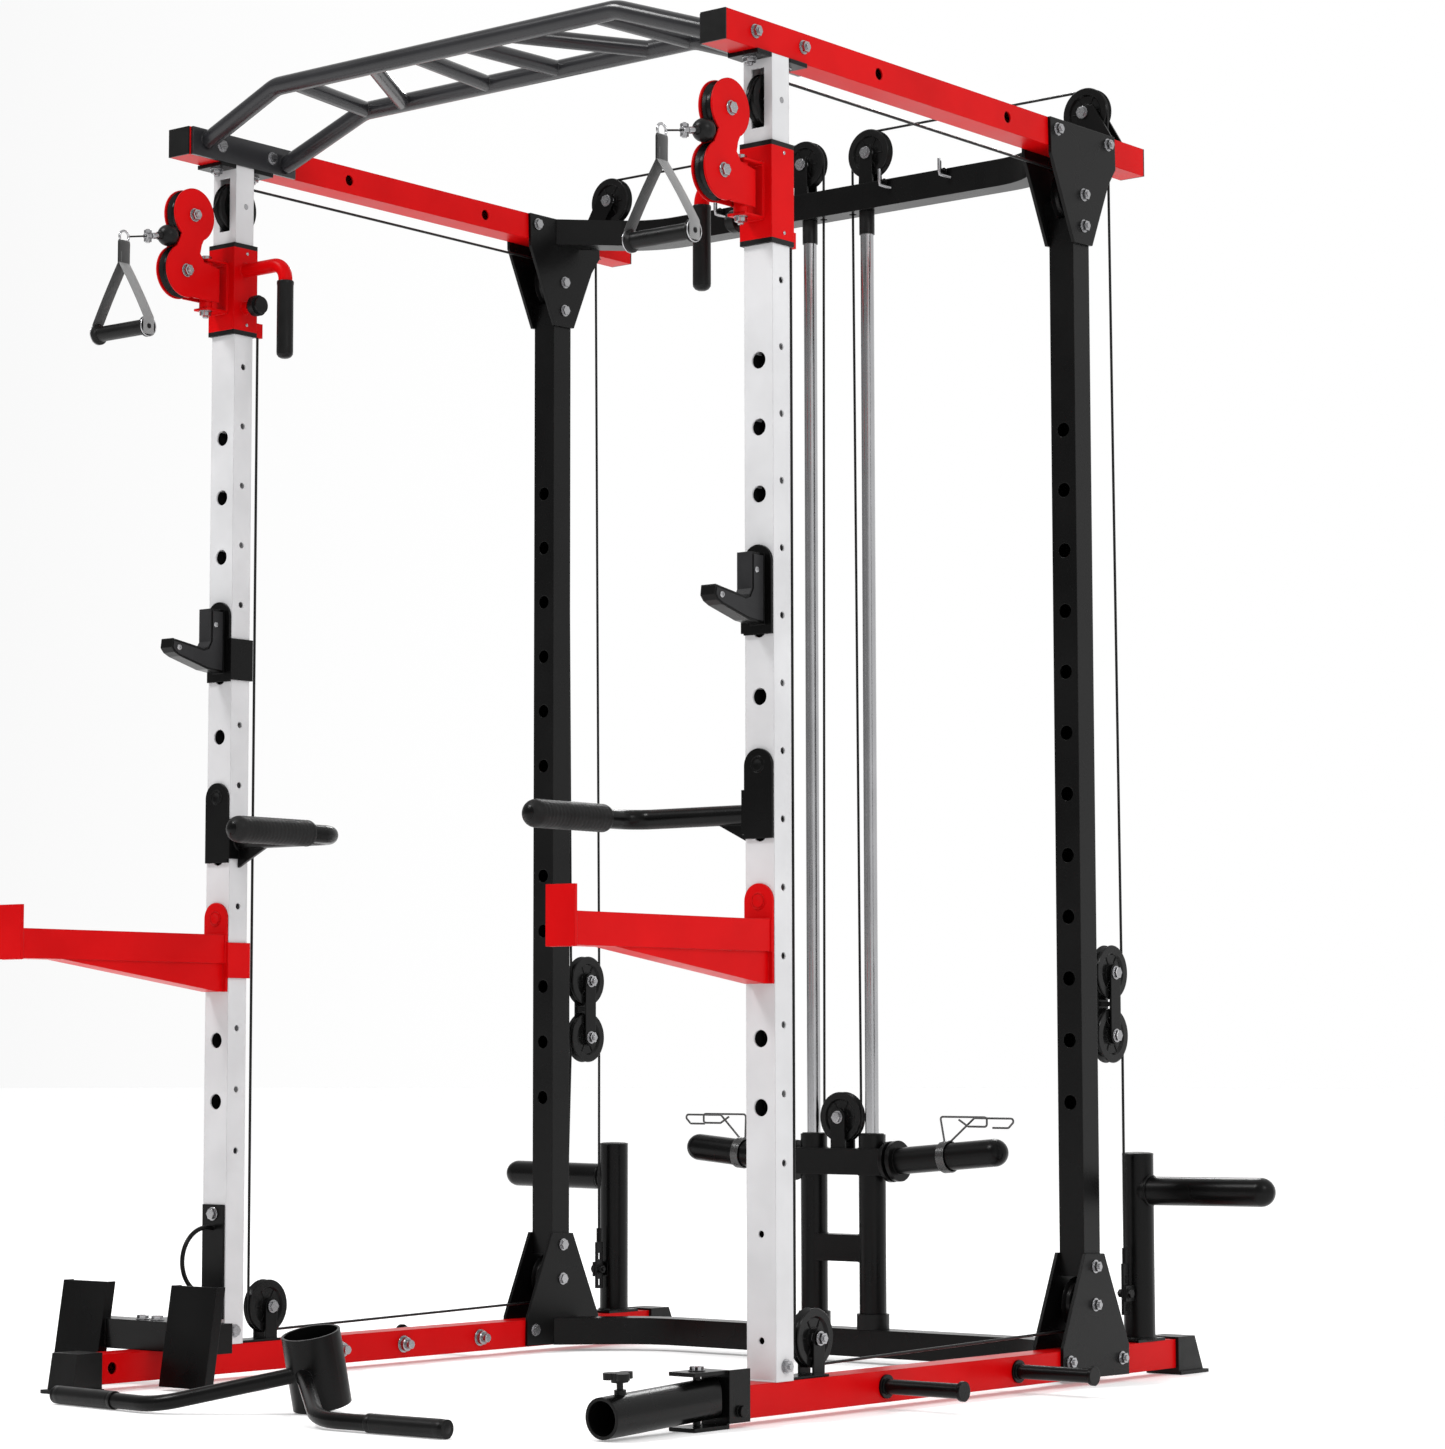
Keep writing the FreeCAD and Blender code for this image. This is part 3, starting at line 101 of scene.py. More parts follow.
def make_camera():
    """Long lens from the front right, low, looking slightly up."""
    data = bpy.data.cameras.new("camera")
    data.sensor_width = 36
    data.lens = 94.757
    data.shift_x = 0.0573
    data.shift_y = -0.0202
    data.clip_end = 200
    camera = bpy.data.objects.new("camera", data)
    camera.location = CAMERA_PLACE
    camera.rotation_euler = (math.pi / 2 + CAMERA_PITCH, 0, CAMERA_TURN)
    bpy.context.scene.collection.objects.link(camera)
    bpy.context.scene.camera = camera


def area_light(name, spot, size, power):
    """Soft square light that points at the middle of the machine."""
    data = bpy.data.lights.new(name, "AREA")
    data.shape = "SQUARE"
    data.size = size
    data.energy = power
    light = bpy.data.objects.new(name, data)
    light.location = spot
    light.rotation_euler = (AIM_POINT - Vector(spot)).to_track_quat("-Z", "Y").to_euler()
    bpy.context.scene.collection.objects.link(light)


def make_lights():
    """Sky that is brightest on one side, a key from the right, a fill from the left and a rim behind."""
    world = bpy.data.worlds.new("studio")
    world.use_nodes = True
    nodes, links = world.node_tree.nodes, world.node_tree.links
    background = nodes["Background"]
    background.inputs["Strength"].default_value = 1.0
    aim = nodes.new("ShaderNodeVectorMath")
    aim.operation = "DOT_PRODUCT"
    aim.inputs[1].default_value = BRIGHT_SIDE
    ramp = nodes.new("ShaderNodeMapRange")
    ramp.interpolation_type = "SMOOTHSTEP"
    ramp.inputs["From Min"].default_value = -0.75
    ramp.inputs["From Max"].default_value = 0.15
    ramp.inputs["To Min"].default_value = 0.36
    ramp.inputs["To Max"].default_value = 1.0
    links.new(nodes.new("ShaderNodeTexCoord").outputs["Generated"], aim.inputs[0])
    links.new(aim.outputs["Value"], ramp.inputs["Value"])
    links.new(ramp.outputs["Result"], background.inputs["Color"])
    bpy.context.scene.world = world
    area_light("key", (5.5, -1.5, 4.5), 1.3, 75)
    area_light("fill", (-3.0, -5.0, 7.5), 2.0, 380)
    area_light("rim", (-2.5, 5.0, 4.5), 1.3, 80)
    bpy.context.scene.view_settings.view_transform = "Standard"


def make_floor(material):
    """Wide pale floor."""
    mesh = bmesh.new()
    bmesh.ops.create_circle(mesh, cap_ends=True, radius=60, segments=96)
    data = bpy.data.meshes.new("floor")
    mesh.to_mesh(data)
    mesh.free()
    floor = bpy.data.objects.new("floor", data)
    floor.location.z = -0.0005
    floor.data.materials.append(material)
    bpy.context.scene.collection.objects.link(floor)


# ---------------------------------------------------------------- materials
class Surface:
    """One Principled material, built node by node in the object's own coordinates."""

    def __init__(self, name, colour, roughness, metallic=0.0):
        self.material = bpy.data.materials.new(name)
        self.material.use_nodes = True
        self.tree = self.material.node_tree
        self.shader = self.tree.nodes["Principled BSDF"]
        self.shader.inputs["Base Color"].default_value = (*colour, 1)
        self.shader.inputs["Roughness"].default_value = roughness
        self.shader.inputs["Metallic"].default_value = metallic
        self.where = self.node("ShaderNodeTexCoord").outputs["Object"]

    def node(self, kind, inputs=None, **settings):
        """New node with its settings and input values or links."""
        made = self.tree.nodes.new(kind)
        for key, value in settings.items():
            setattr(made, key, value)
        for key, value in (inputs or {}).items():
            if isinstance(value, bpy.types.NodeSocket):
                self.tree.links.new(value, made.inputs[key])
            else:
                made.inputs[key].default_value = value
        return made

    def noise(self, scale, detail=3.0, stretch=(1, 1, 1)):
        """Noise value; stretch multiplies the coordinates."""
        where = self.node("ShaderNodeMapping", {"Vector": self.where, "Scale": stretch}).outputs[0]
        inputs = {"Vector": where, "Scale": scale, "Detail": detail}
        return self.node("ShaderNodeTexNoise", inputs).outputs["Fac"]

    def ranged(self, value, low, high, start=0.3, end=0.7):
        """Value mapped from start..end to low..high."""
        inputs = {"Value": value, "From Min": start, "From Max": end, "To Min": low, "To Max": high}
        return self.node("ShaderNodeMapRange", inputs).outputs[0]

    def mixed(self, factor, first, second):
        """Colour between two colours."""
        made = self.node("ShaderNodeMix", data_type="RGBA")
        for socket, value in zip((made.inputs[0], made.inputs[6], made.inputs[7]), (factor, first, second)):
            if isinstance(value, bpy.types.NodeSocket):
                self.tree.links.new(value, socket)
            elif isinstance(value, float):
                socket.default_value = value
            else:
                socket.default_value = (*value, 1)
        return made.outputs[2]

    def set(self, name, value):
        """Link a value into the shader."""
        self.tree.links.new(value, self.shader.inputs[name])

    def bump(self, height, strength, distance, edge=0.0):
        """Surface relief over edges rounded by a small radius."""
        made = self.node("ShaderNodeBump", {"Height": height, "Strength": strength, "Distance": distance})
        if edge:
            bevel = self.node("ShaderNodeBevel", {"Radius": edge}, samples=4)
            self.tree.links.new(bevel.outputs[0], made.inputs["Normal"])
        self.set("Normal", made.outputs[0])

    def edges(self, radius):
        """About 1 at sharp edges and 0 on flat faces."""
        bevel = self.node("ShaderNodeBevel", {"Radius": radius}, samples=4).outputs[0]
        flat = self.node("ShaderNodeNewGeometry").outputs["Normal"]
        same = self.node("ShaderNodeVectorMath", {0: bevel, 1: flat}, operation="DOT_PRODUCT")
        return self.ranged(same.outputs["Value"], 1.0, 0.0, 0.86, 0.99)

    def maths(self, operation, *values):
        """Result of one maths node."""
        return self.node("ShaderNodeMath", dict(enumerate(values)), operation=operation).outputs[0]


def powder_coat(name, colour, roughness, worn, gloss, wear=0.35, rounding=0.0022):
    """Baked powder paint: fine orange peel, slight mottling and thin wear along its edges."""
    surface = Surface(name, colour, roughness)
    broad = surface.noise(7.0)
    fine = surface.noise(420.0, 2.0)
    darker = tuple(channel * 0.90 for channel in colour)
    lighter = tuple(min(1.0, channel * 1.06 + 0.001) for channel in colour)
    body = surface.mixed(surface.ranged(broad, 0.0, 1.0), darker, lighter)
    patchy = surface.ranged(surface.noise(60.0), 0.0, wear, 0.45, 0.65)
    rubbed = surface.maths("MULTIPLY", surface.edges(0.0012), patchy)
    surface.set("Base Color", surface.mixed(rubbed, body, worn))
    surface.set("Roughness", surface.ranged(broad, roughness - 0.04, roughness + 0.06))
    surface.shader.inputs["Specular IOR Level"].default_value = gloss
    surface.bump(fine, 0.25, 0.0002, rounding)
    return surface.material


def polished_steel(name, colour, roughness, stretch):
    """Bright drawn steel with fine lines along it."""
    surface = Surface(name, colour, roughness, 1.0)
    lines = surface.noise(900.0, 2.0, stretch)
    surface.set("Roughness", surface.ranged(lines, roughness * 0.8, roughness * 1.35))
    darker = tuple(channel * 0.9 for channel in colour)
    surface.set("Base Color", surface.mixed(surface.ranged(surface.noise(14.0), 0.0, 1.0), darker, colour))
    surface.bump(lines, 0.03, 0.0001, 0.0006)
    return surface.material


def moulded(name, colour, roughness, grain, strength, rounding=0.001):
    """Moulded plastic or rubber with a fine eroded grain."""
    surface = Surface(name, colour, roughness)
    surface.shader.inputs["Specular IOR Level"].default_value = 0.16
    pebbles = surface.node("ShaderNodeTexVoronoi", {"Vector": surface.where, "Scale": grain})
    surface.bump(pebbles.outputs["Distance"], strength, 0.0003, rounding)
    surface.set("Roughness", surface.ranged(surface.noise(35.0), roughness - 0.05, roughness + 0.08))
    lighter = tuple(channel * 1.5 + 0.003 for channel in colour)
    surface.set("Base Color", surface.mixed(surface.ranged(surface.noise(18.0), 0.0, 0.6), colour, lighter))
    return surface.material


def webbing(name, colour, light):
    """Woven strap: ribs across the strap and threads along it, from the strap's own coordinates."""
    surface = Surface(name, colour, 0.75)
    along = surface.node("ShaderNodeTexCoord").outputs["UV"]
    axes = surface.node("ShaderNodeSeparateXYZ", {"Vector": along})
    waves = []
    for socket, count in ((axes.outputs["X"], 2200.0), (axes.outputs["Y"], 1500.0)):
        waves.append(surface.maths("SINE", surface.maths("MULTIPLY", socket, count)))
    weave = surface.maths("MULTIPLY", *waves)
    surface.set("Base Color", surface.mixed(surface.ranged(weave, 0.0, 1.0, -0.8, 0.8), colour, light))
    surface.bump(weave, 0.6, 0.0004)
    surface.shader.inputs["Sheen Weight"].default_value = 0.3
    return surface.material


def pale_floor():
    """Matt studio floor with a barely visible variation."""
    surface = Surface("floor_paint", (0.9, 0.9, 0.9), 0.9)
    surface.set("Base Color", surface.mixed(surface.noise(0.6), (0.94, 0.94, 0.94), (0.97, 0.97, 0.97)))
    surface.shader.inputs["Emission Color"].default_value = (1, 1, 1, 1)
    surface.shader.inputs["Emission Strength"].default_value = 0.24
    surface.shader.inputs["Specular IOR Level"].default_value = 0
    return surface.material


RED = powder_coat("red_powder", (0.53, 0.001, 0.002), 0.32, (0.66, 0.05, 0.04), 0.06)
BLACK = powder_coat("black_powder", (0.0018, 0.0018, 0.0018), 0.27, (0.05, 0.05, 0.05), 0.14)
WHITE = powder_coat("white_powder", (0.59, 0.59, 0.60), 0.42, (0.74, 0.74, 0.74), 0.2)
GUNMETAL = powder_coat("gunmetal_powder", (0.018, 0.018, 0.020), 0.22, (0.2, 0.2, 0.2), 0.36)
CHROME = polished_steel("chrome", (0.43, 0.43, 0.44), 0.15, (1, 1, 0.02))
WIRE = polished_steel("dark_wire", (0.10, 0.10, 0.10), 0.25, (1, 1, 1))
ZINC = polished_steel("zinc", (0.36, 0.36, 0.37), 0.22, (1, 1, 1))
# Inside of the uprights: bare steel, made near black as painted shade for the dark holes
BARE_STEEL_AND_PAINTED_SHADE = polished_steel("tube_inside", (0.02, 0.02, 0.02), 0.7, (1, 1, 0.1))
PLASTIC = moulded("black_moulding", (0.004, 0.004, 0.004), 0.36, 1400.0, 0.25)
RUBBER = moulded("grip_rubber", (0.004, 0.004, 0.004), 0.32, 900.0, 0.3)
FOAM = moulded("grip_foam", (0.006, 0.006, 0.006), 0.50, 210.0, 1.0)
LINER = moulded("hook_liner", (0.016, 0.016, 0.017), 0.40, 700.0, 0.3)
NYLON = moulded("pulley_nylon", (0.004, 0.004, 0.004), 0.20, 1200.0, 0.1)
JACKET = moulded("cable_jacket", (0.006, 0.006, 0.006), 0.30, 2500.0, 0.1, 0.0)
STRAP = webbing("strap_dark", (0.008, 0.008, 0.008), (0.05, 0.05, 0.05))
# Lighter copy of the dark strap: painted light on the strap's right leg, and also the real pale thread of
# the stitches
STRAP_PAINTED_LIT_AND_THREAD = webbing("strap_painted_lit_and_thread", (0.10, 0.10, 0.10), (0.30, 0.30, 0.30))

NODE_FINISH = {
    "base_rails": RED, "top_rails": RED, "spotter_arm": RED, "trolley": RED, "swivel_frame": RED,
    "front_uprights": WHITE, "pull_up_bar": GUNMETAL, "guide_rods": CHROME, "spring_clip": WIRE,
    "frame_bolts": ZINC, "caps_and_stops": PLASTIC, "trolley_plastics": PLASTIC, "pop_pin": PLASTIC,
    "landmine_knob": PLASTIC,
}


def finish_nodes():
    """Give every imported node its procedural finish; what isn't named is black paint or nylon."""
    for name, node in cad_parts.items():
        base = name.removesuffix("_left").removesuffix("_right")
        finish = NYLON if "pulley" in base else NODE_FINISH.get(base, BLACK)
        for slot in node.material_slots:
            slot.material = finish
        if not node.material_slots:
            node.data.materials.append(finish)


# ---------------------------------------------------------------- shapes
def add_faces(mesh, rings, index, ends=True):
    """Skin between rings of points; a ring of one point closes to a tip."""
    made = [[mesh.verts.new(point) for point in ring] for ring in rings]
    for low, high in zip(made, made[1:]):
        count = max(len(low), len(high))
        for step in range(count):
            after = (step + 1) % count
            corners = [low[step % len(low)], low[after % len(low)]]
            corners += [high[after % len(high)], high[step % len(high)]]
            unique = list(dict.fromkeys(corners))
            if len(unique) > 2:
                mesh.faces.new(unique).material_index = index
    if ends:
        for ring in (made[0], made[-1]):
            if len(ring) > 2:
                mesh.faces.new(ring).material_index = index
    return made


def add_turned(mesh, profile, centre, axis, sides=40, index=0):
    """Solid of revolution; profile holds (distance along the axis, radius)."""
    axis = Vector(axis).normalized()
    side = axis.orthogonal().normalized()
    if abs(axis.z) < 0.5:
        side = axis.cross(Z).normalized()
    other = axis.cross(side)
    rings = []
    for along, radius in profile:
        spot = Vector(centre) + axis * along
        if radius < 1e-7:
            rings.append([spot])
            continue
        angles = [2 * math.pi * step / sides for step in range(sides)]
        rings.append([spot + (side * math.cos(a) + other * math.sin(a)) * radius for a in angles])
    add_faces(mesh, rings, index)


def add_tube(mesh, points, radius, sides=12, index=0, closed=False):
    """Round tube along points; radius is a number or one for each point."""
    points = [Vector(point) for point in points]
    count = len(points)
    rings, normal = [], None
    for step, point in enumerate(points):
        if closed:
            ahead = points[(step + 1) % count] - points[step - 1]
        else:
            ahead = points[min(step + 1, count - 1)] - points[max(step - 1, 0)]
        ahead.normalize()
        normal = ahead.orthogonal() if normal is None else normal - ahead * normal.dot(ahead)
        normal.normalize()
        other = ahead.cross(normal)
        reach = radius[step] if isinstance(radius, list) else radius
        angles = [2 * math.pi * turn / sides for turn in range(sides)]
        rings.append([point + (normal * math.cos(a) + other * math.sin(a)) * reach for a in angles])
    made = add_faces(mesh, rings, index, ends=not closed)
    if closed:
        for turn in range(sides):
            after = (turn + 1) % sides
            corners = (made[-1][turn], made[-1][after], made[0][after], made[0][turn])
            mesh.faces.new(corners).material_index = index


def add_plate(mesh, outline, depth):
    """Flat plate: an outline of points pushed along depth, with its rim rounded over."""
    outline = [Vector(point) for point in outline]
    centre = sum(outline, Vector()) / len(outline)
    step = depth.normalized() * min(0.0006, depth.length / 3)
    inner = [point + (centre - point).normalized() * 0.0006 for point in outline]
    rings = [inner, [point + step for point in outline], [point + depth - step for point in outline],
             [point + depth for point in inner]]
    add_faces(mesh, rings, 0)


def add_ribbon(mesh, points, width, thickness, across, index=0):
    """Flat strap along points, with its length and width stored in metres as UV."""
    layer = mesh.loops.layers.uv.verify()
    points = [Vector(point) for point in points]
    across = Vector(across).normalized()
    shape = [(-0.5, 0.0), (-0.46, 0.45), (0.46, 0.45), (0.5, 0.0), (0.46, -0.45), (-0.46, -0.45)]
    rings, distances, distance = [], [], 0.0
    for step, point in enumerate(points):
        if step:
            distance += (point - points[step - 1]).length
        distances.append(distance)
        ahead = (points[min(step + 1, len(points) - 1)] - points[max(step - 1, 0)]).normalized()
        out = ahead.cross(across).normalized()
        rings.append([point + across * a * width + out * b * thickness for a, b in shape])
    known = set(mesh.faces)
    made = add_faces(mesh, rings, index)
    where = {}
    for ring, distance in zip(made, distances):
        for vertex, (a, _) in zip(ring, shape):
            where[vertex] = (distance, a * width)
    for face in mesh.faces:
        if face not in known:
            for loop in face.loops:
                loop[layer].uv = where[loop.vert]


def add_weld(mesh, points, radius, closed=True):
    """Weld bead with the ripples of its passes."""
    swell = [radius * (1 + 0.14 * math.sin(step * 2.1)) for step in range(len(points))]
    add_tube(mesh, points, swell, 8, 0, closed)


def circle(centre, axis, radius, count):
    """Points round a circle."""
    axis = Vector(axis).normalized()
    side = axis.orthogonal().normalized()
    other = axis.cross(side)
    angles = [2 * math.pi * step / count for step in range(count)]
    return [Vector(centre) + (side * math.cos(a) + other * math.sin(a)) * radius for a in angles]


def path_between(start, end, step):
    """Evenly spaced points on a straight line."""
    start, end = Vector(start), Vector(end)
    count = max(2, round((end - start).length / step))
    return [start.lerp(end, index / count) for index in range(count + 1)]


def across_rail(side, half, y, z, step):
    """Evenly spaced points straight across one rail or upright."""
    centre = side * RAIL_X
    return path_between(place(centre - half, y, z), place(centre + half, y, z), step)


def make_piece(name, mesh, materials, smooth=35):
    """Object from a bmesh, with smooth faces between its sharp edges."""
    bmesh.ops.recalc_face_normals(mesh, faces=mesh.faces)
    data = bpy.data.meshes.new(name)
    mesh.to_mesh(data)
    mesh.free()
    data.shade_smooth()
    data.set_sharp_from_angle(angle=math.radians(smooth))
    for material in materials:
        data.materials.append(material)
    piece = bpy.data.objects.new(name, data)
    bpy.context.scene.collection.objects.link(piece)
    return piece


# ---------------------------------------------------------------- bolts
BOLT_HEAD_R = 0.0096
BOLT_SHANK_R = 0.0053
THREAD_PITCH = 0.0008


def add_washer(mesh, face, out, radius):
    """Flat washer under a bolt head or nut of the given radius."""
    rim, bevel = radius * 1.24, radius * 1.18
    add_turned(mesh, [(0, 0), (0, rim), (0.0014, rim), (0.0018, bevel), (0.0018, 0)], face, out, 36)


def add_bolt_head(mesh, face, out, radius=BOLT_HEAD_R):
    """Washer and chamfered hexagonal head that cover a plain bolt end."""
    add_washer(mesh, face, out, radius)
    corner, bevel = radius * 1.06, radius * 0.92
    hexagon = [(0.0015, 0), (0.0015, corner), (0.0066, corner), (0.0076, bevel), (0.0077, 0)]
    add_turned(mesh, hexagon, face, out, 6)


def add_bolt_nut(mesh, face, out):
    """Washer, chamfered nut and the threaded end of the bolt."""
    add_washer(mesh, face, out, BOLT_HEAD_R)
    corner, bevel = BOLT_HEAD_R * 1.08, BOLT_HEAD_R * 0.95
    nut = [(0.0015, 0), (0.0015, bevel), (0.0022, corner), (0.0082, corner), (0.0089, bevel), (0.0089, 0)]
    add_turned(mesh, nut, face, out, 6)
    thread = [(0.0085, 0)]
    for turn in range(5):
        crest = 0.0089 + turn * THREAD_PITCH
        thread += [(crest, BOLT_SHANK_R), (crest + THREAD_PITCH / 2, BOLT_SHANK_R * 0.9)]
    thread += [(0.0131, BOLT_SHANK_R * 0.86), (0.0131, 0)]
    add_turned(mesh, thread, face, out, 24)


def through_bolt(name, start, end, body):
    """Bolt ends on both outer faces of what the bolt goes through."""
    along = (end - start).normalized()
    mesh = bmesh.new()
    add_bolt_head(mesh, start, -along)
    add_bolt_nut(mesh, end, along)
    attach(make_piece(name, mesh, [ZINC], 25), body)


def make_bolts():
    """Bright ends on the bolts of the painted pieces."""
    for tag, side in SIDES:
        for level in ("upper", "lower"):
            for kind, half, body in (("swivel", 0.014, "swivel"), ("float", 0.015, "floating_block")):
                hub = middle(f"{level}_{kind}_pulley_{tag}")
                reach = X * side * half
                through_bolt(f"{kind}_bolt_{level}_{tag}", hub + reach, hub - reach, f"{body}_{tag}")
        top, bottom = (place(side * RAIL_X, SWIVEL_PIVOT_Y, z) for z in SWIVEL_EARS_Z)
        through_bolt(f"swivel_pivot_bolt_{tag}", top, bottom, f"trolley_{tag}")
    hub = middle("carriage_pulley")
    through_bolt("carriage_axle_bolt", hub - Y * 0.017, hub + Y * 0.017, "carriage")
    mesh = bmesh.new()
    for side in (-1, 1):
        for y in (-0.043, 0.047):
            add_bolt_nut(mesh, place(side * RAIL_X, y, 2.139), -Z)
    add_bolt_head(mesh, place(-RAIL_X, -0.026, 0.287), -Y)
    add_bolt_head(mesh, place(RAIL_X, -0.182, 0.088), Z, 0.0105)
    for x in (-0.018, 0.018):
        add_bolt_head(mesh, place(-RAIL_X + x, -0.172, 0.112), Z)
    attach(make_piece("plate_bolts", mesh, [ZINC], 25), "frame")


# ---------------------------------------------------------------- cables
def tight_route(stops, plane):
    """Straight runs and wraps of a tight cable round pulleys.

    Each stop is (across, up, radius, turn); turn is 1 where the cable turns left, -1 right.
    """
    headings = []
    for (u1, v1, r1, t1), (u2, v2, r2, t2) in zip(stops, stops[1:]):
        reach = math.hypot(u2 - u1, v2 - v1)
        headings.append(math.atan2(v2 - v1, u2 - u1) + math.asin((t1 * r1 - t2 * r2) / reach))

    def touch(stop, heading):
        across, up, radius, turn = stop
        return plane(across + turn * radius * math.sin(heading), up - turn * radius * math.cos(heading))

    runs = [(touch(a, h), touch(b, h)) for a, b, h in zip(stops, stops[1:], headings)]
    wraps = []
    for stop, before, after in zip(stops[1:], headings, headings[1:]):
        sweep = (after - before) * stop[3] % (2 * math.pi)
        count = max(4, round(sweep / math.radians(6)))
        wraps.append([touch(stop, before + stop[3] * sweep * step / count) for step in range(count + 1)])
    return runs, wraps


def cable_piece(name, points, bodies):
    """Length of cable on one body, or stretched between two."""
    mesh = bmesh.new()
    add_tube(mesh, points, CABLE_R, 14)
    piece = make_piece(name, mesh, [JACKET], 60)
    if len(bodies) == 1:
        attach(piece, bodies[0])
    else:
        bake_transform(piece)
    return piece


def lay_cable(name, stops, plane, run_bodies, wrap_bodies):
    """Every run and wrap of one cable, each on the bodies that hold its ends."""
    runs, wraps = tight_route(stops, plane)
    pieces = []
    for index, (run, bodies) in enumerate(zip(runs, run_bodies)):
        pieces.append(cable_piece(f"{name}_run_{index}", run, bodies))
    for index, (wrap, body) in enumerate(zip(wraps, wrap_bodies)):
        pieces.append(cable_piece(f"{name}_wrap_{index}", wrap, [body]))
    return pieces


def wheel(node, turn):
    """Stop of a cable at a pulley that turns about X."""
    hub = middle(node)
    return (hub.y, hub.z, WRAP_R, turn)


def make_cables():
    """Upper cable from handle to handle through the carriage, and both lower cables."""
    crown_z = middle("crown_pulley_right").z
    socket_z = crown_z - GROOVE_R
    pieces = []
    for tag, side in SIDES:
        trolley, swivel, block = f"trolley_{tag}", f"swivel_{tag}", f"floating_block_{tag}"

        def side_plane(across, up, x=side * RAIL_X):
            return Vector((x, across, up))

        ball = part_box(f"pull_link_{tag}")[1]
        pulley = wheel(f"upper_swivel_pulley_{tag}", 1)
        upper = [(ball.y, pulley[1] - WRAP_R, 0, 1), pulley, wheel("top_pulleys", -1),
                 wheel("gusset_pulleys", -1), wheel(f"upper_float_pulley_{tag}", 1),
                 (CROSS_Y, socket_z, 0, 1)]
        ends = [(swivel, f"pull_link_{tag}"), (trolley, "frame"), ("frame",), ("frame", block),
                (block, "frame")]
        pieces += lay_cable(f"upper_cable_{tag}", upper, side_plane, ends, [swivel, "frame", "frame", block])
        low_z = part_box(f"trolley_{tag}")[0].z + 0.012
        low_y = middle(f"front_floor_pulley_{tag}").y - WRAP_R
        end = (middle(f"lower_float_pulley_{tag}").y + WRAP_R, CABLE_END_Z, 0, 1)
        lower = [(low_y, low_z, 0, 1), wheel(f"front_floor_pulley_{tag}", 1),
                 wheel(f"rear_floor_pulley_{tag}", 1), wheel(f"lower_float_pulley_{tag}", -1), end]
        ends = [(trolley, "frame"), ("frame",), ("frame", block), (block, "frame")]
        pieces += lay_cable(f"lower_cable_{tag}", lower, side_plane, ends, ["frame", "frame", block])

    def back_plane(across, up):
        return Vector((across, CROSS_Y, up))

    crown_x, cross_x = middle("crown_pulley_right").x, middle("cross_pulley_right").x
    carriage = middle("carriage_pulley")
    across = [(RAIL_X, socket_z, 0, 1), (crown_x, crown_z, WRAP_R, 1), (cross_x, crown_z, WRAP_R, 1),
              (0, carriage.z, WRAP_R, -1), (-cross_x, crown_z, WRAP_R, 1), (-crown_x, crown_z, WRAP_R, 1),
              (-RAIL_X, socket_z, 0, 1)]
    fixed = ("frame",)
    ends = [fixed, fixed, ("frame", "carriage"), ("carriage", "frame"), fixed, fixed]
    wraps = ["frame", "frame", "carriage", "frame", "frame"]
    pieces += lay_cable("carriage_cable", across, back_plane, ends, wraps)
    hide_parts("cables")


# ---------------------------------------------------------------- pulleys
def make_peg_nuts():
    """Washer, large nut and shank end of every band peg, and one spare nut on the left rail."""
    profile = [(0, 0.0095), (0, 0.0155), (0.0018, 0.0155), (0.0022, 0.0150), (0.0022, 0.0125),
               (0.0110, 0.0125), (0.0120, 0.0112), (0.0120, 0.0080), (0.0210, 0.0080), (0.0222, 0.0068),
               (0.0222, 0)]
    inner_face = RAIL_X - TUBE_HALF + 0.0001
    for tag, side in SIDES:
        mesh = bmesh.new()
        for y in BAND_PEG_Y if side == 1 else (BAND_PEG_Y[0], SPARE_NUT_Y, BAND_PEG_Y[1]):
            add_turned(mesh, profile, place(side * inner_face, y, BAND_PEG_Z), X * -side, 24)
        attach(make_piece(f"peg_nuts_{tag}", mesh, [ZINC], 25), "frame")


def make_cable_hooks():
    """Four small bright hooks on the upper crossmember's front face."""
    mesh = bmesh.new()
    for side in (-1, 1):
        for x in (0.128, 0.264):
            root = place(side * x, HOOK_ROW_Y, HOOK_ROW_Z)
            bends = [(0.012, 0, 0), (0.004, -0.012, 0.002), (0, -0.019, 0.004), (0, -0.021, 0.012),
                     (0, -0.021, 0.034)]
            add_tube(mesh, [root + Vector(bend) for bend in bends], 0.0028, 12)
    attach(make_piece("cable_hooks", mesh, [ZINC], 40), "frame")


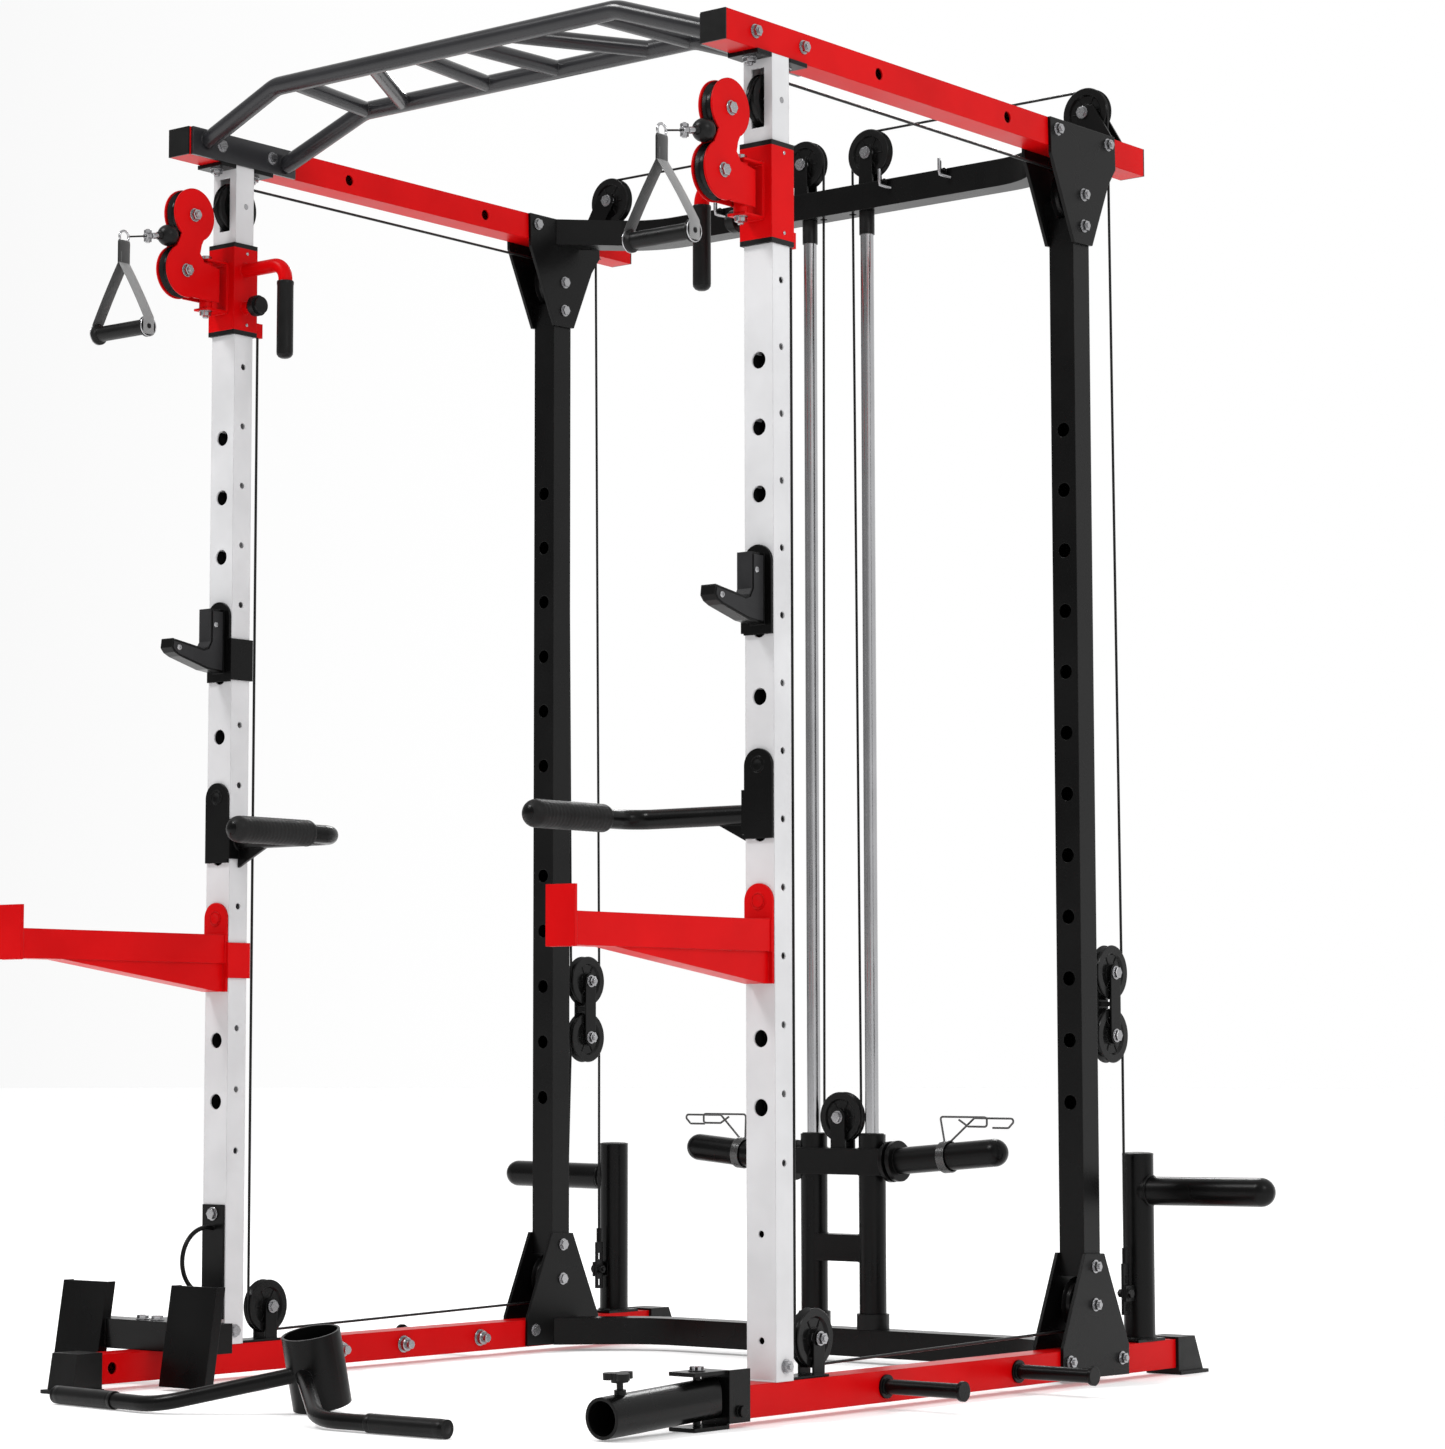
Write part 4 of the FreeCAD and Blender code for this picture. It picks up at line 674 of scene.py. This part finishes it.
def make_pulley_faces():
    """Bearing shields, hub rings and short spokes on both faces of every pulley."""
    axes = {"upper_swivel": X, "lower_swivel": X, "upper_float": X, "lower_float": X, "front_floor": X,
            "rear_floor": X, "crown": Y, "cross": Y}
    wheels = []
    for tag, side in SIDES:
        for kind, axis in axes.items():
            node = f"{kind}_pulley_{tag}"
            wheels.append((node, node, middle(node), axis))
        for node in ("top_pulleys", "gusset_pulleys"):
            hub = middle(node)
            wheels.append((f"{node}_{tag}", node, Vector((side * RAIL_X, hub.y, hub.z)), X))
    wheels.append(("carriage_pulley", "carriage_pulley", middle("carriage_pulley"), Y))
    for name, body, hub, axis in wheels:
        mesh = bmesh.new()
        across = axis.cross(Z)
        for way in (-1, 1):
            out = axis * way
            shield = [(0.0098, 0.0062), (0.0103, 0.0066), (0.0103, 0.0118), (0.0098, 0.0122)]
            add_turned(mesh, shield, hub, out, 40)
            lip = [(0.0046, 0.0150), (0.0062, 0.0156), (0.0062, 0.0172), (0.0046, 0.0178)]
            add_turned(mesh, lip, hub, out, 48, 1)
            for spoke in range(6):
                angle = math.radians(60 * spoke)
                radial = across * math.cos(angle) + Z * math.sin(angle)
                line = [hub + out * 0.0055 + radial * reach for reach in (0.0170, 0.0235, 0.0305)]
                add_tube(mesh, line, [0.0012, 0.0014, 0.0012], 8, 1)
        piece = make_piece(f"bearing_{name}", mesh, [ZINC, NYLON])
        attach(piece, body)


# ---------------------------------------------------------------- pull handles
BALL_R = 0.019
RING_R = 0.0126
GRIP_DISC_R = 0.019
STRAP_W = 0.025


def make_pull_link(tag):
    """Rubber ball stop, cable clamp with nuts, bare tail and steel ring."""
    low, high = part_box(f"pull_link_{tag}")
    x = (low.x + high.x) / 2
    ball = Vector((x, high.y - BALL_R, high.z - BALL_R))
    ring = Vector((x, low.y + RING_R, low.z + RING_R))
    out = (ring - ball).normalized()
    mesh = bmesh.new()
    profile = [(-BALL_R, 0)]
    for step in range(1, 24):
        angle = math.pi * step / 24
        seam = 0.0006 if step == 12 else 0.0
        profile.append((-BALL_R * math.cos(angle), BALL_R * math.sin(angle) - seam))
    neck = BALL_R + 0.007
    profile += [(BALL_R * 0.97, 0.0075), (neck - 0.001, 0.0070), (neck, 0.0062), (neck, 0)]
    add_turned(mesh, profile, ball, out, 48)
    piece = make_piece(f"ball_stop_{tag}", mesh, [RUBBER])
    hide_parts(f"pull_link_{tag}")
    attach(piece, f"pull_link_{tag}")

    mesh = bmesh.new()
    start = ball + out * (BALL_R + 0.006)
    sleeve = [(0, 0), (0, 0.0052), (0.003, 0.0056), (0.013, 0.0056), (0.015, 0.0046), (0.015, 0)]
    add_turned(mesh, sleeve, start, out)
    add_tube(mesh, [start, ring - out * 0.010], 0.0016, 12, 1)
    clamp = start + out * 0.024
    stud = [(0.002, 0), (0.002, 0.0042), (0.011, 0.0042), (0.012, 0.0036), (0.012, 0)]
    nut = [(0.005, 0), (0.005, 0.0068), (0.010, 0.0068), (0.0105, 0.0060), (0.0105, 0)]
    for way in (-1, 1):
        add_turned(mesh, stud, clamp, Z * way, 24)
        add_turned(mesh, nut, clamp, Z * way, 6)
    saddle = [(-0.0065, 0), (-0.0065, 0.0052), (-0.005, 0.0062), (0.005, 0.0062), (0.0065, 0.0052),
              (0.0065, 0)]
    add_turned(mesh, saddle, clamp, out, 24)
    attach(make_piece(f"cable_clamp_{tag}", mesh, [ZINC, JACKET], 30), f"pull_link_{tag}")

    mesh = bmesh.new()
    add_tube(mesh, circle(ring, X, RING_R - 0.0022, 48), 0.0022, 14, 0, True)
    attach(make_piece(f"handle_ring_{tag}", mesh, [CHROME], 60), f"pull_link_{tag}")
    return ring


def make_pull_handle(tag, ring):
    """Sewn webbing triangle with a ribbed grip, end discs and steel rings."""
    body = f"pull_handle_{tag}"
    low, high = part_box(body)
    x = (low.x + high.x) / 2
    y = (low.y + high.y) / 2
    grip_z = low.z + GRIP_DISC_R
    half = (high.x - low.x) / 2 - 0.003
    fork = Vector((x, y, high.z - 0.036))
    loop = [fork + X * 0.0021 + Z * 0.008 * step for step in range(4)]
    for step in range(9):
        angle = math.radians(20 * step)
        rise = 0.0058 * math.sin(angle) - 0.0125
        loop.append(Vector((x + 0.0023 * math.cos(angle), y, ring.z + rise)))
    loop += [fork - X * 0.0021 + Z * 0.008 * step for step in (3, 2, 1, 0)]
    mesh = bmesh.new()
    add_ribbon(mesh, loop, STRAP_W, 0.0022, Y)
    # The right leg takes the lighter strap as a painted highlight where light falls on it; the loop and left
    # leg keep the strap's own dark colour.
    for way, shade in ((-1, 0), (1, 1)):
        top = fork + X * way * 0.001 + Z * 0.004
        foot = Vector((x + way * (half + 0.0015), y, grip_z + 0.016))
        parts = (0, 0.2, 0.4, 0.6, 0.8, 1)
        leg = [top.lerp(foot, part) + X * way * 0.0016 * math.sin(math.pi * part) for part in parts]
        leg += [foot - Z * drop for drop in (0.010, 0.022, 0.030)]
        add_ribbon(mesh, leg, STRAP_W, 0.0026, Y, shade)
    piece = make_piece(f"strap_{tag}", mesh, [STRAP, STRAP_PAINTED_LIT_AND_THREAD], 50)
    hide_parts(body)
    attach(piece, body)

    mesh = bmesh.new()
    for row in range(6):
        for way in (-1, 1):
            stitch = Vector((x + way * 0.0036, y, fork.z + 0.003 + row * 0.0036))
            for column in (-0.009, 0.009):
                spot = stitch + Y * column
                add_tube(mesh, path_between(spot - Z * 0.0011, spot + Z * 0.0011, 0.001), 0.00035, 6)
    for column in range(9):
        for way in (-1, 1):
            spot = Vector((x + way * 0.0036, y - 0.009 + column * 0.00225, fork.z + 0.003))
            add_tube(mesh, [spot - Y * 0.0008, spot + Y * 0.0008], 0.00035, 6)
    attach(make_piece(f"stitches_{tag}", mesh, [STRAP_PAINTED_LIT_AND_THREAD]), body)

    mesh = bmesh.new()
    flange = [(0, 0), (0, 0.0165), (0.001, 0.0182), (0.0045, 0.0182), (0.006, 0.0165), (0.007, 0.0142)]
    profile = [(along - half, reach) for along, reach in flange]
    ribs = 22
    span = 2 * half - 0.016
    for rib in range(ribs + 1):
        along = -half + 0.008 + span * rib / ribs
        profile += [(along, 0.0129), (along + span / ribs * 0.5, 0.0135)]
    profile = profile[:-1] + [(half - along, reach) for along, reach in reversed(flange)]
    add_turned(mesh, profile, (x, y, grip_z), X, 48)
    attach(make_piece(f"hand_grip_{tag}", mesh, [RUBBER], 30), body)

    mesh = bmesh.new()
    for way in (-1, 1):
        end = Vector((x + way * (half + 0.003), y, grip_z))
        add_tube(mesh, circle(end - X * way * 0.0022, X, 0.0174, 56), 0.0011, 12, 0, True)
        cap = [(-0.001, 0), (-0.001, 0.0045), (0.0008, 0.0043), (0.0014, 0.0030), (0.0016, 0)]
        add_turned(mesh, cap, end, X * way, 24, 1)
    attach(make_piece(f"grip_rings_{tag}", mesh, [CHROME, RUBBER], 40), body)


# ---------------------------------------------------------------- trolleys
def make_trolley_trim(tag, side):
    """Rivets, weld beads and the elbow tube's grip of one trolley."""
    body = f"trolley_{tag}"
    outer, inner = side * (RAIL_X + 0.032), side * (RAIL_X - 0.032)
    mesh = bmesh.new()
    dome = [(0, 0), (0, 0.0030), (0.0006, 0.0030), (0.0014, 0.0022), (0.0018, 0)]
    for z in (1.988, 1.859):
        for x, way in ((outer, side), (inner, -side)):
            add_turned(mesh, dome, place(x, 0.004, z), X * way, 20)
    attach(make_piece(f"rivets_{tag}", mesh, [ZINC]), body)

    mesh = bmesh.new()
    root = side * (RAIL_X - 0.0315)
    add_weld(mesh, circle(place(root, 0, 1.957), X, 0.0128, 64), 0.0022)
    add_weld(mesh, circle(place(root, 0, 1.890), X, 0.0112, 56), 0.0018)
    for z, way in ((1.8780, -1), (1.8820, 1), (1.9650, -1), (1.9690, 1)):
        line = path_between(place(side * (RAIL_X - 0.016), -0.0330, z + way * 0.0006),
                            place(side * (RAIL_X + 0.016), -0.0330, z + way * 0.0006), 0.0011)
        add_weld(mesh, line, 0.0016, False)
    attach(make_piece(f"trolley_welds_{tag}", mesh, [RED], 60), body)

    low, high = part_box(f"trolley_plastics_{tag}")
    elbow_x = low.x + 0.0145 if side > 0 else high.x - 0.0145
    profile = [(0, 0), (0, 0.0146), (0.002, 0.0152), (0.006, 0.0152), (0.008, 0.0146), (0.118, 0.0148),
               (0.128, 0.0148), (0.133, 0.0136), (0.1365, 0.0108), (0.1385, 0.0065), (0.1390, 0)]
    mesh = bmesh.new()
    add_turned(mesh, profile, place(elbow_x, 0, 1.9255), -Z, 48)
    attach(make_piece(f"elbow_grip_{tag}", mesh, [RUBBER]), body)


# ---------------------------------------------------------------- attachments
def make_hook_trim(tag, side):
    """Side liners, seat pad and screws of one barbell hook."""
    body = f"j_hook_{tag}"
    outline = [(-0.031, 1.342), (-0.055, 1.342), (-0.055, 1.288), (-0.063, 1.274), (-0.076, 1.2695),
               (-0.148, 1.2812), (-0.1495, 1.271), (-0.144, 1.2645), (-0.132, 1.2588), (-0.066, 1.2415),
               (-0.031, 1.2385)]
    mesh = bmesh.new()
    for way in (-1, 1):
        face = side * RAIL_X + way * 0.0139
        add_plate(mesh, [place(face, y, z) for y, z in outline], X * way * 0.0015)
    seat = [(-0.0590, 1.3455), (-0.0590, 1.287), (-0.0650, 1.277), (-0.0760, 1.2730), (-0.1500, 1.2848)]
    lift = 0.0006
    points = []
    for (y1, z1), (y2, z2) in zip(seat, seat[1:]):
        start, end = place(side * RAIL_X, y1 - lift, z1 + lift), place(side * RAIL_X, y2 - lift, z2 + lift)
        points += path_between(start, end, 0.01)[:-1]
    points.append(place(side * RAIL_X, seat[-1][0], seat[-1][1] + lift))
    add_ribbon(mesh, points, 0.0300, 0.0022, X)
    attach(make_piece(f"hook_liner_{tag}", mesh, [LINER], 30), body)
    mesh = bmesh.new()
    screw = [(0, 0), (0, 0.0052), (0.0012, 0.0052), (0.0026, 0.0040), (0.0030, 0.0022), (0.0018, 0.0018),
             (0.0018, 0)]
    for y, z in ((-0.048, 1.318), (-0.136, 1.271)):
        for way in (-1, 1):
            add_turned(mesh, screw, place(side * RAIL_X + way * 0.0150, y, z), X * way, 24)
    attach(make_piece(f"hook_screws_{tag}", mesh, [ZINC]), body)


def make_pin_heads(tag, side):
    """Domed heads of the pins that hold the hook, dip handle and safety arm."""
    dome = [(0, 0), (0, 0.0112), (0.0010, 0.0108), (0.0016, 0.0090), (0.0010, 0.0070), (0.0008, 0)]
    pins = (("j_hook", HOOK_PIN_Z, BLACK, "black_paint"), ("dip_handle", DIP_PIN_Z, BLACK, "black_paint"),
            ("spotter_arm", ARM_PIN_Z, RED, "red_paint"))
    for kind, z, finish, slot in pins:
        mesh = bmesh.new()
        front = place(side * RAIL_X, -0.0274, z)
        add_weld(mesh, circle(front, Y, 0.0126, 60), 0.0014)
        add_turned(mesh, dome, front, -Y, 36)
        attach(make_piece(f"pin_head_{kind}_{tag}", mesh, [finish], 40), f"{kind}_{tag}")


def make_dip_grip(tag, side):
    """Pebbled foam sleeve over the end of one dip bar."""
    low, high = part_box(f"dip_handle_{tag}")
    x = low.x + 0.022 if side > 0 else high.x - 0.022
    radius = 0.0226
    dome = 0.0218
    start = FRONT_Y - 0.075
    length = start - low.y - 0.022
    profile = [(0, 0.0160), (0.0005, 0.0205), (0.003, radius)]
    rings = 60
    for ring in range(1, rings):
        along = 0.003 + (length - 0.003) * ring / rings
        profile.append((along, radius + 0.00022 * math.sin(ring * 1.9)))
    for step in range(8):
        angle = math.radians(90 * step / 8)
        profile.append((length + dome * math.sin(angle), radius * math.cos(angle)))
    profile.append((length + dome, 0))
    mesh = bmesh.new()
    add_turned(mesh, profile, (x, start, DIP_BAR_Z), -Y, 56)
    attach(make_piece(f"dip_grip_{tag}", mesh, [FOAM], 50), f"dip_handle_{tag}")
    mesh = bmesh.new()
    root = side * (RAIL_X - UPRIGHT_W / 2 - 0.0046)
    add_weld(mesh, circle(place(root, 0, DIP_BAR_Z), X, 0.0166, 72), 0.0024)
    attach(make_piece(f"dip_weld_{tag}", mesh, [BLACK], 60), f"dip_handle_{tag}")


def make_arm_welds(tag, side):
    """Beads where the safety arm meets its end plate and its pinned plate."""
    mesh = bmesh.new()
    bottom, top, end_y, plate_y = 0.7226, 0.7726, -0.4935, -0.0275
    for y in (end_y, plate_y):
        for way in (-1, 1):
            x = side * RAIL_X + way * 0.0255
            add_weld(mesh, path_between(place(x, y, bottom), place(x, y, top), 0.0013), 0.0020, False)
    for y, z in ((end_y, bottom - 0.0003), (end_y, top + 0.0003), (plate_y, top + 0.0003)):
        add_weld(mesh, across_rail(side, 0.0245, y, z, 0.0013), 0.0018, False)
    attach(make_piece(f"arm_welds_{tag}", mesh, [RED], 60), f"spotter_arm_{tag}")


# ---------------------------------------------------------------- carriage, T-bar and floor pieces
def make_carriage_trim():
    """Weld beads of the carriage and bushes at the ends of its tubes."""
    mesh = bmesh.new()
    rod_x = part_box("guide_rods")[1].x - 0.0125
    bush = [(-0.004, 0.0128), (0.0022, 0.0132), (0.0022, 0.0205), (0.0010, 0.0222), (-0.004, 0.0222)]
    weld_r = 0.0255
    for side, facing in ((-1, -30), (1, 150)):
        for z, way in ((0.0900, -1), (0.4170, 1)):
            add_turned(mesh, bush, (side * rod_x, CROSS_Y, z), Z * way, 40, 1)
        for z in (0.184, 0.233, 0.343, 0.391):
            centre = Vector((side * rod_x, CROSS_Y, z))
            angles = [math.radians(facing + 60 * step / 24) for step in range(25)]
            points = [centre + (X * math.cos(angle) + Y * math.sin(angle)) * weld_r for angle in angles]
            add_weld(mesh, points, 0.0016, False)
    piece = make_piece("carriage_trim", mesh, [BLACK, PLASTIC], 50)
    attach(piece, "carriage")


T_BAR_TURN = math.radians(-1.6)
T_BAR_PLACE = place(-0.030, -0.3376, 0.0147)
T_BAR_BEND = Vector((0.182, -0.188, 0))
T_BAR_END = Vector((0.436, -0.172, 0))


def make_t_bar_grips():
    """Rubber sleeves with a rolled collar on both arms of the rowing handle."""
    turn = Matrix.Rotation(T_BAR_TURN, 3, "Z")
    for tag, side in SIDES:
        mirror = Vector((side, 1, 1))
        bend, end = (T_BAR_PLACE + turn @ (point * mirror) for point in (T_BAR_BEND, T_BAR_END))
        along = (end - bend).normalized()
        length = 0.1548
        start = end - along * (length - 0.0043)
        profile = [(0, 0.0125), (0, 0.0146), (0.001, 0.0147), (0.006, 0.0147), (0.0075, 0.0141)]
        for rib in range(30):
            spot = 0.010 + (length - 0.026) * rib / 30
            profile += [(spot, 0.0144), (spot + 0.0024, 0.0147)]
        profile += [(length - 0.010, 0.0147), (length - 0.004, 0.0138), (length - 0.001, 0.0105),
                    (length, 0.006), (length + 0.0002, 0)]
        mesh = bmesh.new()
        add_turned(mesh, profile, start, along, 48)
        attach(make_piece(f"t_bar_grip_{tag}", mesh, [RUBBER], 40), "t_bar_handle")


def make_frame_welds():
    """Weld beads at the posts, the plate and band pegs and the feet of the front uprights."""
    mesh = bmesh.new()
    for side in (-1, 1):
        x = side * RAIL_X
        add_weld(mesh, circle((x, POST_Y, 0.0672), Z, 0.0282, 96), 0.0026)
        add_weld(mesh, circle((x + side * 0.0275, POST_Y, PLATE_PEG_Z), X, 0.0254, 88), 0.0022)
        for y in BAND_PEG_Y:
            add_weld(mesh, circle(place(side * (RAIL_X + 0.0291), y, BAND_PEG_Z), X, 0.0122, 48), 0.0016)
    piece = make_piece("post_welds", mesh, [BLACK], 60)
    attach(piece, "frame")
    mesh = bmesh.new()
    for side in (-1, 1):
        for y in (-0.022, 0.022):
            add_weld(mesh, across_rail(side, 0.0245, y, 0.0625, 0.0014), 0.0019, False)
    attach(make_piece("upright_foot_welds", mesh, [WHITE], 60), "frame")


def make_tube_insides():
    """Near-black walls inside the front uprights, open at every hole: bare steel, darkened as painted shade
    so the holes look dark.
    """
    mesh = bmesh.new()
    half_w, half_d, slot_half = UPRIGHT_W / 2 - 0.0033, 0.0187, 0.0142
    low, top, hole_r = 0.064, 2.028, 0.0065
    spans, start = [], low
    for hole in sorted(HOLE_TOP_Z - HOLE_PITCH * index for index in range(HOLE_COUNT)):
        spans.append((start, hole - hole_r))
        start = hole + hole_r
    spans.append((start, top))
    for side in (-1, 1):
        centre = side * RAIL_X
        for way in (-1, 1):
            x = centre + way * half_w
            for bottom, up in spans:
                corners = [place(x, -half_d, bottom), place(x, half_d, bottom), place(x, half_d, up),
                           place(x, -half_d, up)]
                add_plate(mesh, corners, X * way * 0.0002)
            edge = centre + way * slot_half
            corners = [place(edge, half_d, low), place(x, half_d, low), place(x, half_d, top),
                       place(edge, half_d, top)]
            add_plate(mesh, corners, Y * 0.0002)
    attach(make_piece("tube_insides", mesh, [BARE_STEEL_AND_PAINTED_SHADE]), "frame")


def make_post_caps():
    """Low domed plastic caps on the storage posts."""
    mesh = bmesh.new()
    cap = [(-0.001, 0), (-0.001, 0.0272), (0.0006, 0.0280), (0.0022, 0.0272), (0.0036, 0.0210),
           (0.0042, 0.0100), (0.0044, 0)]
    for side in (-1, 1):
        add_turned(mesh, cap, (side * RAIL_X, POST_Y, POST_TOP_Z), Z, 48)
    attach(make_piece("post_caps", mesh, [PLASTIC]), "frame")


# ---------------------------------------------------------------- everything
make_camera()
make_lights()
make_floor(pale_floor())
finish_nodes()
make_cables()
make_peg_nuts()
make_cable_hooks()
make_pulley_faces()
make_bolts()
for tag, side in SIDES:
    make_pull_handle(tag, make_pull_link(tag))
    make_trolley_trim(tag, side)
    make_hook_trim(tag, side)
    make_pin_heads(tag, side)
    make_dip_grip(tag, side)
    make_arm_welds(tag, side)
make_carriage_trim()
make_t_bar_grips()
make_frame_welds()
make_post_caps()
make_tube_insides()
